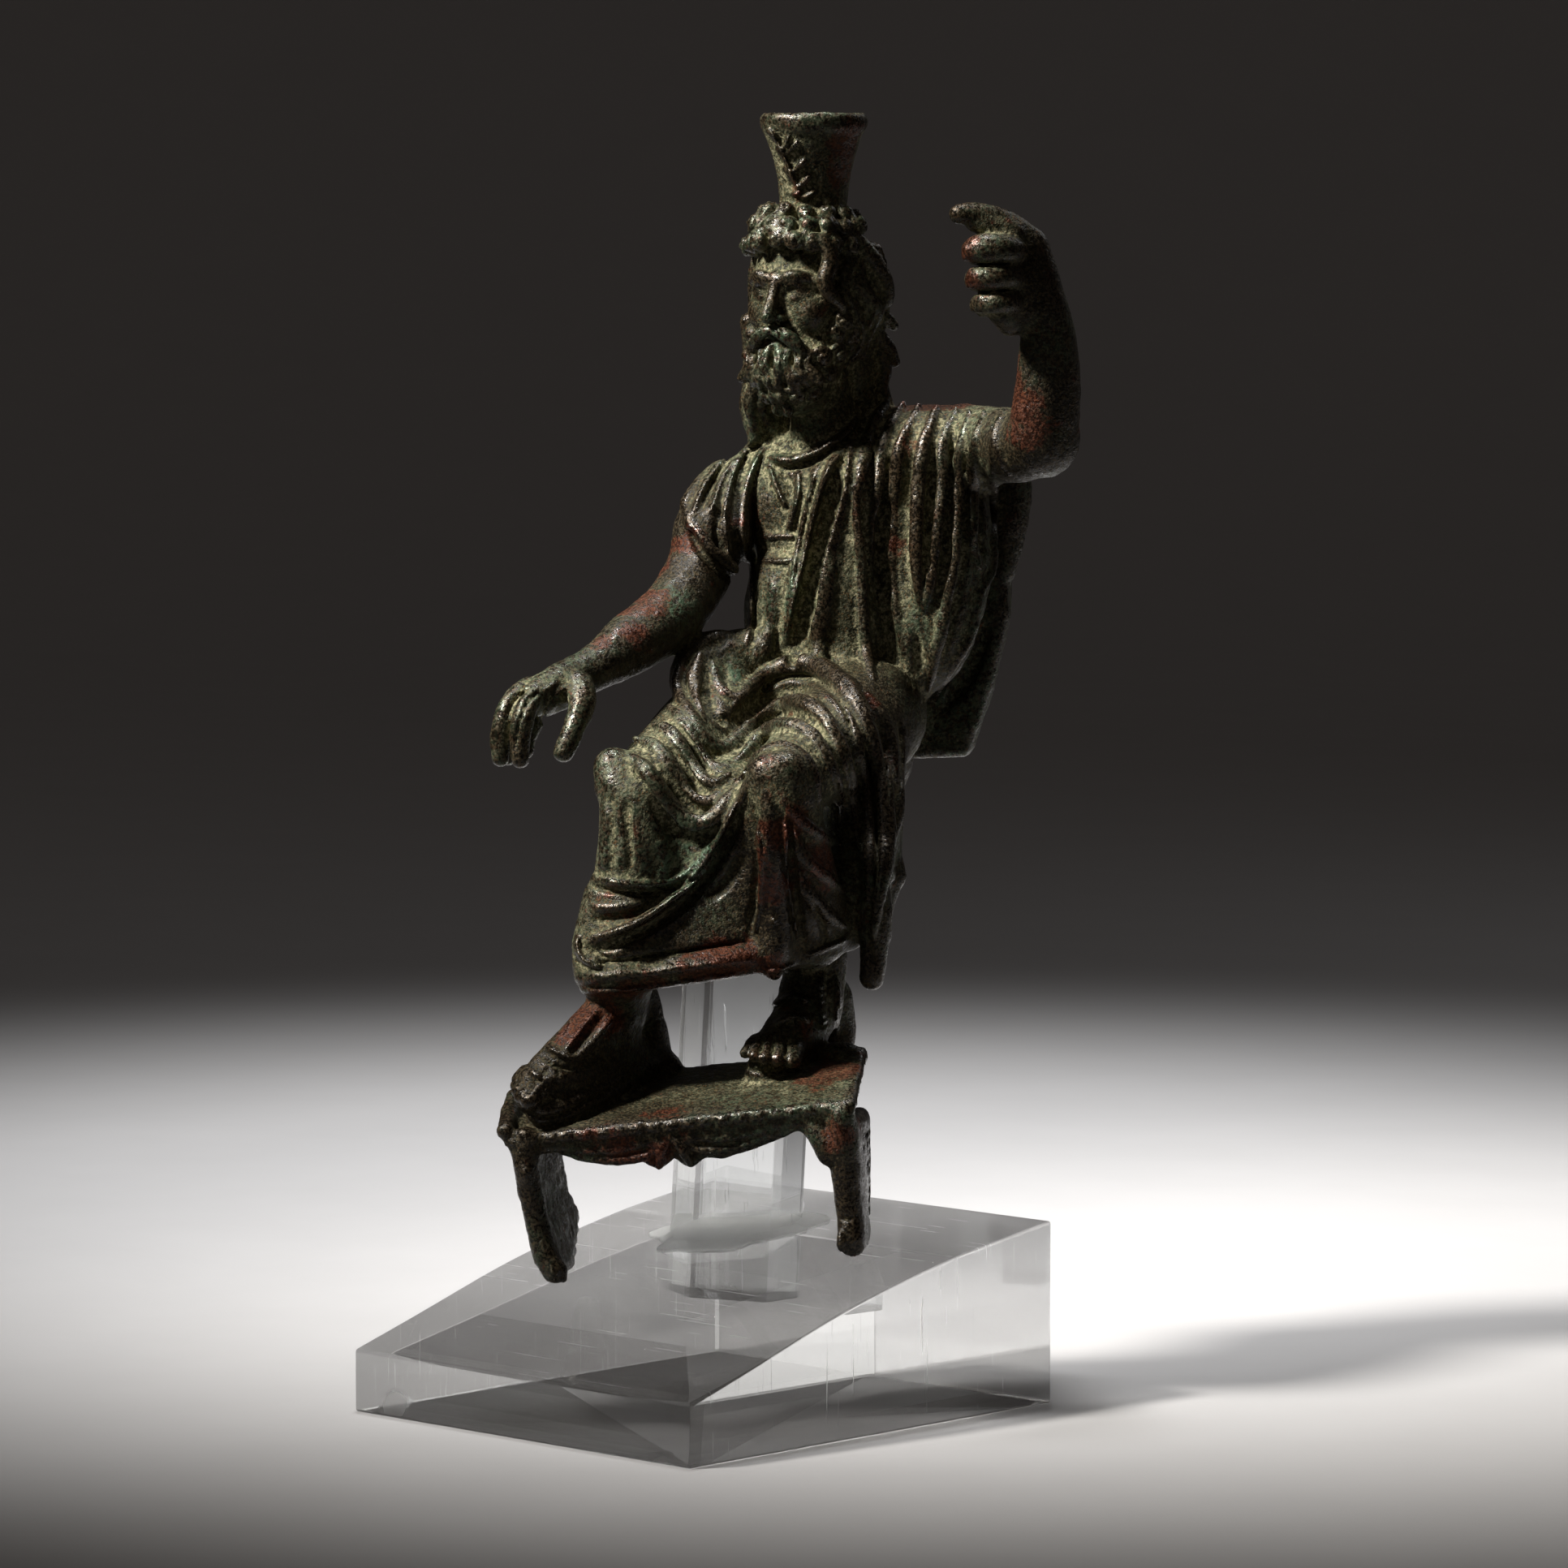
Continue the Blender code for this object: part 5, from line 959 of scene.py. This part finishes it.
for x, y, z, r in GREEN:
    d = np.sqrt((fig[:, 0] - x) ** 2 + (fig[:, 1] - y) ** 2 + (fig[:, 2] - z) ** 2)
    green = np.maximum(green, np.clip(1.2 - d / (r * 1.2), 0, 1))
# skin of the arms and feet, browner and with less deposit where the metal shows; down the mantle's fall and slab on the
# shaded right side the same browner tone, with less deposit, is painted shade; the lower skirt and the footstool are
# made browner too
BARE_AND_SHADE = [(872, 668, 41, 6.5), (845, 715, 36, 6), (826, 757, 32, 6), (783, 789, 26, 6), (741, 818, 20, 5), (711, 834, 17, 4), (1284, 545, 17, 7), (1289, 500, 15.5, 7), (1292, 450, 14.5, 7),
        (1290, 405, 13.5, 6), (1281, 368, 12.5, 5), (1272, 330, 12, 5), (1240, 560, 24, 5), (764, 1270, 8, 7), (800, 1280, 12, 6), (1000, 1260, 13, 7),
        # from here on: painted shade down the mantle's fall and slab, then the lower skirt and the footstool made
        # browner
        (1085, 900, 20, 7.5), (1095, 980, 18, 7.5), (1088, 1060, 14, 7.5), (1078, 1150, 9, 7), (1230, 620, 44, 10), (1225, 720, 44, 10), (1205, 830, 44, 9), (1180, 900, 44, 9), (1130, 920, 44, 8),
        (900, 1125, 1, 8), (960, 1130, 1, 8), (1005, 1110, 4, 7.5), (1030, 1070, 7, 7), (690, 1340, 0, 7), (660, 1450, -5, 8), (690, 1520, 0, 8), (1040, 1450, -9, 8), (1045, 1520, -10, 7), (800, 1420, -9, 7), (900, 1410, -9, 7)]
bare_and_shade = np.zeros(len(fig), np.float32)
for a_, b_, y_, r_ in BARE_AND_SHADE:
    x, y, z = P(a_, b_, y_)
    d = np.sqrt((fig[:, 0] - x) ** 2 + (fig[:, 1] - y) ** 2 + (fig[:, 2] - z) ** 2)
    bare_and_shade = np.maximum(bare_and_shade, np.clip(2.0 - d / r_, 0, 1))
for name, val in (("ridge", np.clip(fine / 0.25, -1, 1) * 0.5 + 0.5), ("bare_and_shade", bare_and_shade), ("red", red), ("green", green)):
    at = me.attributes.new(name, "FLOAT", "POINT")
    at.data.foreach_set("value", np.asarray(val, np.float32))
bronze = ob

# ---- materials ------------------------------------------------------------------------
class Nodes:
    """Short hand for a material's node tree."""

    def __init__(self, name):
        self.m = bpy.data.materials.new(name)
        self.m.use_nodes = True
        self.t = self.m.node_tree
        self.p = self.t.nodes["Principled BSDF"]

    def node(self, kind, **kw):
        n = self.t.nodes.new(kind)
        for key, v in kw.items():
            if key.startswith("in_"):
                n.inputs[key[3:].replace("_", " ")].default_value = v
            else:
                setattr(n, key, v)
        return n

    def link(self, a, b):
        self.t.links.new(a, b)

    def coords(self, scale=1.0):
        tc = self.node("ShaderNodeTexCoord")
        mp = self.node("ShaderNodeMapping")
        mp.inputs["Scale"].default_value = (scale, scale, scale)
        self.link(tc.outputs["Object"], mp.inputs["Vector"])
        return mp.outputs["Vector"]

    def noise(self, vec, scale, detail=4.0, rough=0.6, dist=0.0):
        n = self.node("ShaderNodeTexNoise", in_Scale=scale, in_Detail=detail, in_Roughness=rough, in_Distortion=dist)
        self.link(vec, n.inputs["Vector"])
        return n.outputs["Fac"]

    def attr(self, name):
        return self.node("ShaderNodeAttribute", attribute_name=name).outputs["Fac"]

    def ramp(self, fac, *stops):
        """Smooth map of a number: stops are (position, value)."""
        n = self.node("ShaderNodeValToRGB")
        r = n.color_ramp
        while len(r.elements) < len(stops):
            r.elements.new(0.5)
        for e, (p, v) in zip(r.elements, stops):
            e.position = p
            e.color = (v, v, v, 1) if not hasattr(v, "__len__") else (*v, 1)
        self.link(fac, n.inputs["Fac"])
        return n.outputs["Color"]

    def math(self, op, a, b=0.0, clamp=False):
        n = self.node("ShaderNodeMath", operation=op, use_clamp=clamp)
        for s, v in zip(n.inputs, (a, b)):
            if isinstance(v, (int, float)):
                s.default_value = v
            else:
                self.link(v, s)
        return n.outputs[0]

    def mix(self, fac, a, b):
        n = self.node("ShaderNodeMix", data_type="RGBA")
        for s, v in ((n.inputs[0], fac), (n.inputs[6], a), (n.inputs[7], b)):
            if isinstance(v, tuple):
                s.default_value = (*v, 1)
            elif isinstance(v, (int, float)):
                s.default_value = v
            else:
                self.link(v, s)
        return n.outputs[2]

    def bump(self, height, strength, distance, normal=None):
        n = self.node("ShaderNodeBump", in_Strength=strength, in_Distance=distance)
        self.link(height, n.inputs["Height"])
        if normal is not None:
            self.link(normal, n.inputs["Normal"])
        return n.outputs["Normal"]


def bronze_material():
    q = Nodes("old_dark_bronze")
    v = q.coords(1000.0)                   # texture space in millimetres
    big = q.noise(v, 0.06, 3.0, 0.55)
    mid = q.noise(v, 0.30, 5.0, 0.65)
    fine = q.noise(v, 1.1, 3.0, 0.65)
    grain = q.noise(v, 2.3, 2.0, 0.65)
    speck = q.noise(v, 3.1, 1.0, 0.5)
    ridge, bare_and_shade, red, green = q.attr("ridge"), q.attr("bare_and_shade"), q.attr("red"), q.attr("green")
    # near black ground, with olive and ochre grains
    col = q.mix(q.ramp(mid, (0.40, 0.0), (0.60, 1.0)), (0.010, 0.011, 0.006), (0.034, 0.036, 0.020))
    col = q.mix(q.ramp(grain, (0.50, 0.0), (0.60, 0.55)), col, (0.115, 0.110, 0.058))
    col = q.mix(q.ramp(speck, (0.60, 0.0), (0.66, 0.70)), col, (0.130, 0.070, 0.024))
    # dark brown, rubbed metal on what stands proud
    brown = q.math("MULTIPLY", q.ramp(ridge, (0.54, 0.0), (0.74, 1.0)), q.ramp(mid, (0.34, 0.45), (0.54, 0.95)))
    col = q.mix(brown, col, q.mix(q.ramp(grain, (0.46, 0.0), (0.58, 1.0)), (0.010, 0.007, 0.004), (0.056, 0.034, 0.015)))
    # browner metal on the exposed skin of arms and feet, and the same tone as painted shade down the mantle's shaded
    # right side; browner on the lower skirt and footstool too
    col = q.mix(q.math("MULTIPLY", bare_and_shade, 0.80), col, q.mix(q.ramp(grain, (0.48, 0.0), (0.60, 1.0)), (0.010, 0.0075, 0.0045), (0.048, 0.033, 0.015)))
    # green bloom
    g = q.math("ADD", q.math("MULTIPLY", green, 0.9), q.math("MULTIPLY", q.ramp(big, (0.48, 0.0), (0.62, 1.0)), 0.50))
    g = q.math("MULTIPLY", g, q.ramp(fine, (0.45, 0.0), (0.56, 1.0)), clamp=True)
    col = q.mix(g, col, (0.044, 0.080, 0.046))
    # pale grey-green deposit, thickest in the hollows
    hollow = q.ramp(ridge, (0.20, 1.0), (0.50, 0.0))
    lay = q.math("ADD", q.math("MULTIPLY", hollow, 0.90), q.math("MULTIPLY", q.ramp(big, (0.40, 0.0), (0.58, 1.0)), 0.36))
    lay = q.math("MULTIPLY", lay, q.math("SUBTRACT", 1.0, q.math("MULTIPLY", brown, 0.80)))
    # less deposit on the exposed skin and in the painted shade
    lay = q.math("MULTIPLY", lay, q.math("SUBTRACT", 1.0, q.math("MULTIPLY", bare_and_shade, 0.78)))
    dust = q.math("MULTIPLY", lay, q.ramp(fine, (0.44, 0.05), (0.55, 1.0)), clamp=True)
    col = q.mix(q.math("MULTIPLY", dust, 0.85), col, q.mix(q.ramp(grain, (0.42, 0.0), (0.58, 1.0)), (0.115, 0.120, 0.066), (0.370, 0.335, 0.210)))
    # red-brown oxide with ragged edges
    ragged = q.math("ADD", red, q.math("MULTIPLY", q.math("SUBTRACT", fine, 0.5), 1.7))
    ragged = q.math("ADD", ragged, q.math("MULTIPLY", q.math("SUBTRACT", mid, 0.5), 2.0))
    ragged = q.math("ADD", ragged, q.math("MULTIPLY", q.math("SUBTRACT", q.noise(v, 0.13, 2.0, 0.5), 0.5), 2.2))
    r = q.math("MULTIPLY", q.ramp(ragged, (0.50, 0.0), (0.74, 1.0)), 0.80)
    r = q.math("ADD", r, q.math("MULTIPLY", q.ramp(speck, (0.68, 0.0), (0.72, 1.0)), 0.30), clamp=True)
    col = q.mix(r, col, q.mix(q.ramp(grain, (0.44, 0.0), (0.60, 1.0)), (0.028, 0.0075, 0.0040), (0.105, 0.0255, 0.0095)))
    q.link(col, q.p.inputs["Base Color"])
    met = q.math("ADD", 0.06, q.math("MULTIPLY", brown, 0.45), clamp=True)
    q.link(met, q.p.inputs["Metallic"])
    rough = q.math("ADD", q.math("MULTIPLY", q.ramp(grain, (0.40, 0.0), (0.60, 1.0)), 0.30), 0.38)
    rough = q.math("SUBTRACT", rough, q.math("MULTIPLY", brown, 0.24))
    rough = q.math("ADD", rough, q.math("MULTIPLY", dust, 0.35), clamp=True)
    q.link(rough, q.p.inputs["Roughness"])
    spec = q.math("ADD", 0.16, q.math("MULTIPLY", brown, 0.55))
    q.link(q.math("SUBTRACT", spec, q.math("MULTIPLY", dust, 0.14), clamp=True), q.p.inputs["Specular IOR Level"])
    soft = q.math("SUBTRACT", 1.0, q.math("MULTIPLY", brown, 0.60))     # the rubbed ridges are smoother
    n1 = q.bump(fine, 1.0, 0.00030)
    n2 = q.bump(grain, 1.0, 0.00018, n1)
    for bump in (n1.node, n2.node):
        q.link(soft, bump.inputs["Strength"])
    q.link(n2, q.p.inputs["Normal"])
    return q.m


def acrylic_material(name, frost=False):
    q = Nodes(name)
    v = q.coords(1000.0)
    q.p.inputs["Base Color"].default_value = (0.96, 0.98, 0.975, 1)
    q.p.inputs["Transmission Weight"].default_value = 0.75 if frost else 1.0
    q.p.inputs["IOR"].default_value = 1.49
    q.p.inputs["Metallic"].default_value = 0.0
    q.p.inputs["Alpha"].default_value = 0.64
    sc = q.node("ShaderNodeMapping")
    sc.inputs["Scale"].default_value = (0.022, 1.2, 0.03)
    sc.inputs["Rotation"].default_value = (0.3, 0.5, 0.9)
    q.link(v, sc.inputs["Vector"])
    scratch = q.ramp(q.noise(sc.outputs["Vector"], 2.2, 2.0, 0.5), (0.685, 0.0), (0.72, 1.0))
    cloud = q.noise(v, 0.12, 3.0, 0.5)
    if frost:
        rough = q.math("ADD", 0.30, q.math("MULTIPLY", q.noise(v, 0.8, 4.0, 0.6), 0.35))
        h = q.bump(q.noise(v, 1.2, 5.0, 0.7), 0.6, 0.0003)
    else:
        rough = q.math("ADD", q.math("ADD", 0.015, q.math("MULTIPLY", q.ramp(cloud, (0.45, 0.0), (0.75, 1.0)), 0.035)), q.math("MULTIPLY", scratch, 0.35))
        h = q.bump(scratch, 0.8, 0.00022)
    q.link(rough, q.p.inputs["Roughness"])
    q.link(h, q.p.inputs["Normal"])
    return q.m


bronze.data.materials.append(bronze_material())
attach(bronze, "root")
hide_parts("serapis_bronze")


# ---- acrylic block and post -----------------------------------------------------------
def object_from(name, bm, mat):
    me = bpy.data.meshes.new(name)
    bm.to_mesh(me)
    bm.free()
    o = bpy.data.objects.new(name, me)
    bpy.context.scene.collection.objects.link(o)
    o.data.materials.append(mat)
    return o


BLOCK = (68.0, 75.0)
TOP = [(-37.5, 9.1), (-26.0, 12.6), (-9.0, 17.9), (2.5, 20.8), (16.0, 23.6), (27.0, 25.3), (37.5, 26.8)]
clear = acrylic_material("clear_acrylic_look")
bm = bmesh.new()
prof = path_of([(a, b, 0.0) for a, b in TOP], 1.6)[:, :2]
side = [(-37.5, 0.0)] + [(a, b) for a, b in prof] + [(37.5, 0.0)]
vs = [[bm.verts.new((s * BLOCK[0] / 2 * MM, a * MM, b * MM)) for a, b in side] for s in (-1, 1)]
n = len(side)
bm.faces.new(vs[0][::-1])
bm.faces.new(vs[1])
for i in range(n):
    j = (i + 1) % n
    bm.faces.new((vs[0][i], vs[0][j], vs[1][j], vs[1][i]))
bmesh.ops.recalc_face_normals(bm, faces=bm.faces)
block = object_from("acrylic_wedge_block", bm, clear)
bv = block.modifiers.new("edge", "BEVEL")
bv.width, bv.segments, bv.limit_method, bv.angle_limit = 0.0005, 3, "ANGLE", math.radians(40)
block.data.polygons.foreach_set("use_smooth", np.ones(len(block.data.polygons), bool))
block.modifiers.new("even", "WEIGHTED_NORMAL").keep_sharp = True


def in_world(p):
    return Vector(to_world(np.asarray(p, float)[None])[0])


bm = bmesh.new()
ring = [(-POST_W / 2, 0), (-POST_FLAT / 2, -POST_D / 2), (POST_FLAT / 2, -POST_D / 2), (POST_W / 2, 0), (POST_FLAT / 2, POST_D / 2), (-POST_FLAT / 2, POST_D / 2)]
vs = []
for z in (-4.0, POST_TOP - 18.0):
    vs.append([bm.verts.new(in_world(po + lean @ np.array([a, b, z]))) for a, b in ring])
bm.faces.new(vs[0])
bm.faces.new(vs[1][::-1])
for i in range(6):
    j = (i + 1) % 6
    bm.faces.new((vs[0][i], vs[0][j], vs[1][j], vs[1][i]))
bmesh.ops.recalc_face_normals(bm, faces=bm.faces)
# clouded glue that has spread round its foot, following the block's sloping top
glue = []
for i in range(40):
    a = 2 * math.pi * i / 40
    rad = 1.0 + 0.10 * math.sin(3 * a + 1.0) + 0.07 * math.sin(7 * a) + 0.04 * math.sin(13 * a + 2.0)
    c = np.array(in_world(po + lean @ np.array([12.6 * math.cos(a) * rad, 8.4 * math.sin(a) * rad, 0.0])))
    d = np.array(in_world(po + lean @ np.array([10.6 * math.cos(a) * rad, 6.9 * math.sin(a) * rad, 0.0])))
    for q3 in (c, d):
        q3[2] = np.interp(q3[1] / MM, [t[0] for t in TOP], [t[1] for t in TOP]) * MM
    glue.append([bm.verts.new(Vector(c + [0, 0, -0.0004])), bm.verts.new(Vector(c + [0, 0, 0.0002])), bm.verts.new(Vector(d + [0, 0, 0.0009]))])
start = len(bm.faces)
for i in range(40):
    j = (i + 1) % 40
    for s in range(2):
        bm.faces.new((glue[i][s], glue[j][s], glue[j][s + 1], glue[i][s + 1]))
bm.faces.new([row[2] for row in glue])
bm.faces.new([row[0] for row in glue][::-1])
bm.faces.ensure_lookup_table()
for f in bm.faces[start:]:
    f.material_index = 1
post = object_from("acrylic_post_rod", bm, clear)
post.data.materials.append(acrylic_material("clouded_glue", frost=True))
bv = post.modifiers.new("edge", "BEVEL")
bv.width, bv.segments, bv.limit_method, bv.angle_limit = 0.0004, 3, "ANGLE", math.radians(25)
post.data.polygons.foreach_set("use_smooth", np.ones(len(post.data.polygons), bool))
post.modifiers.new("even", "WEIGHTED_NORMAL").keep_sharp = True
for o, node in ((block, "acrylic_block"), (post, "acrylic_post")):
    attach(o, "root")
    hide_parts(node)

# ---- floor, light and camera ------------------------------------------------------------
# a pale floor that runs up behind as a plain sweep
way = Vector((-0.69184, 0.72205, 0.0))     # away from the camera, level
across = Vector((0.72205, 0.69184, 0.0))
line = [(-2.5, 0.0), (-1.0, 0.0), (0.0, 0.0), (0.8, 0.0), (1.5, 0.0)]
line += [(1.5 + 0.9 * math.sin(math.radians(a)), 0.9 - 0.9 * math.cos(math.radians(a))) for a in range(5, 91, 5)] + [(2.4, 3.2)]
bm = bmesh.new()
cols = [[bm.verts.new(way * d + across * s + Vector((0, 0, h))) for d, h in line] for s in (-3.5, -1.2, 0.0, 1.2, 3.5)]
for c0, c1 in zip(cols, cols[1:]):
    for i in range(len(line) - 1):
        bm.faces.new((c0[i], c1[i], c1[i + 1], c0[i + 1]))
bmesh.ops.recalc_face_normals(bm, faces=bm.faces)
if bm.faces[:][0].normal.z < 0:
    bmesh.ops.reverse_faces(bm, faces=bm.faces)
me = bpy.data.meshes.new("floor")
bm.to_mesh(me)
bm.free()
me.polygons.foreach_set("use_smooth", np.ones(len(me.polygons), bool))
floor = bpy.data.objects.new("floor", me)
bpy.context.scene.collection.objects.link(floor)
q = Nodes("pale_floor")
v = q.coords(1.0)
q.link(q.mix(q.noise(v, 30.0, 5.0, 0.6), (0.400, 0.394, 0.396), (0.440, 0.434, 0.436)), q.p.inputs["Base Color"])
q.p.inputs["Roughness"].default_value = 0.85
q.p.inputs["Emission Color"].default_value = (1.0, 0.99, 0.99, 1)
q.p.inputs["Emission Strength"].default_value = 0.009
q.link(q.bump(q.noise(v, 900.0, 3.0, 0.6), 0.15, 0.0002), q.p.inputs["Normal"])
floor.data.materials.append(q.m)

C0 = Vector((0.7330, -0.74816, 0.18028))
RIGHT = Vector((0.7220, 0.6919, 0.0)).normalized()
FWD = Vector((-0.68937, 0.71937, -0.08524)).normalized()
UP = RIGHT.cross(FWD).normalized()
cam = bpy.data.cameras.new("view")
cam.lens, cam.sensor_width, cam.clip_start = FOCAL / 1932 * 36, 36.0, 0.05
eye = bpy.data.objects.new("view", cam)
eye.matrix_world = Matrix.Translation(C0) @ Matrix((RIGHT, UP, -FWD)).transposed().to_4x4()
bpy.context.scene.collection.objects.link(eye)
bpy.context.scene.camera = eye
bpy.context.scene.view_settings.view_transform = "Standard"

AIM = Vector((0.012, 0.01, 0.10))


def area_light(name, at, size, power, color=(1, 1, 1), aim=AIM):
    """at is in view terms: (right, up, towards the camera), metres from the aim point."""
    l = bpy.data.lights.new(name, "AREA")
    l.shape = "RECTANGLE"
    l.size, l.size_y = size
    l.energy, l.color = power, color
    o = bpy.data.objects.new(name, l)
    pos = aim + RIGHT * at[0] + Vector((0, 0, 1)) * at[1] - FWD * at[2]
    o.matrix_world = Matrix.Translation(pos) @ (aim - pos).to_track_quat("-Z", "Y").to_matrix().to_4x4()
    bpy.context.scene.collection.objects.link(o)
    return o




def spot_light(name, at, aim, cone, blend, soft, power, color=(1, 1, 1)):
    """at and aim are in view terms: (right, up, towards the camera), metres; at from AIM, aim from the floor under it."""
    l = bpy.data.lights.new(name, "SPOT")
    l.spot_size, l.spot_blend, l.shadow_soft_size, l.energy, l.color = math.radians(cone), blend, soft, power, color
    o = bpy.data.objects.new(name, l)
    pos = AIM + across * at[0] + Vector((0, 0, at[1])) - way * at[2]
    to = AIM + across * aim[0] + Vector((0, 0, aim[1])) - way * aim[2]
    o.matrix_world = Matrix.Translation(pos) @ (to - pos).to_track_quat("-Z", "Y").to_matrix().to_4x4()
    bpy.context.scene.collection.objects.link(o)
    return o


spot_light("key", (-0.64, 0.74, 0.20), (0, 0.02, -0.045), 22, 1.0, 0.085, 98, (1.0, 0.965, 0.91))
area_light("front_soft", (-0.55, 0.35, 0.70), (0.30, 0.30), 0.16, (1.0, 0.97, 0.93))
area_light("rim_right", (0.42, 0.50, -0.55), (0.16, 0.30), 0.28, (0.97, 0.98, 1.0))
spot_light("floor_pool", (-0.02, 1.15, -0.25), (0.0, -0.10, -0.22), 27, 1.0, 0.10, 101)
world = bpy.data.worlds.new("room")
bpy.context.scene.world = world
world.use_nodes = True
world.node_tree.nodes["Background"].inputs[0].default_value = (0.0255, 0.0198, 0.0165, 1)
world.node_tree.nodes["Background"].inputs[1].default_value = 1.0

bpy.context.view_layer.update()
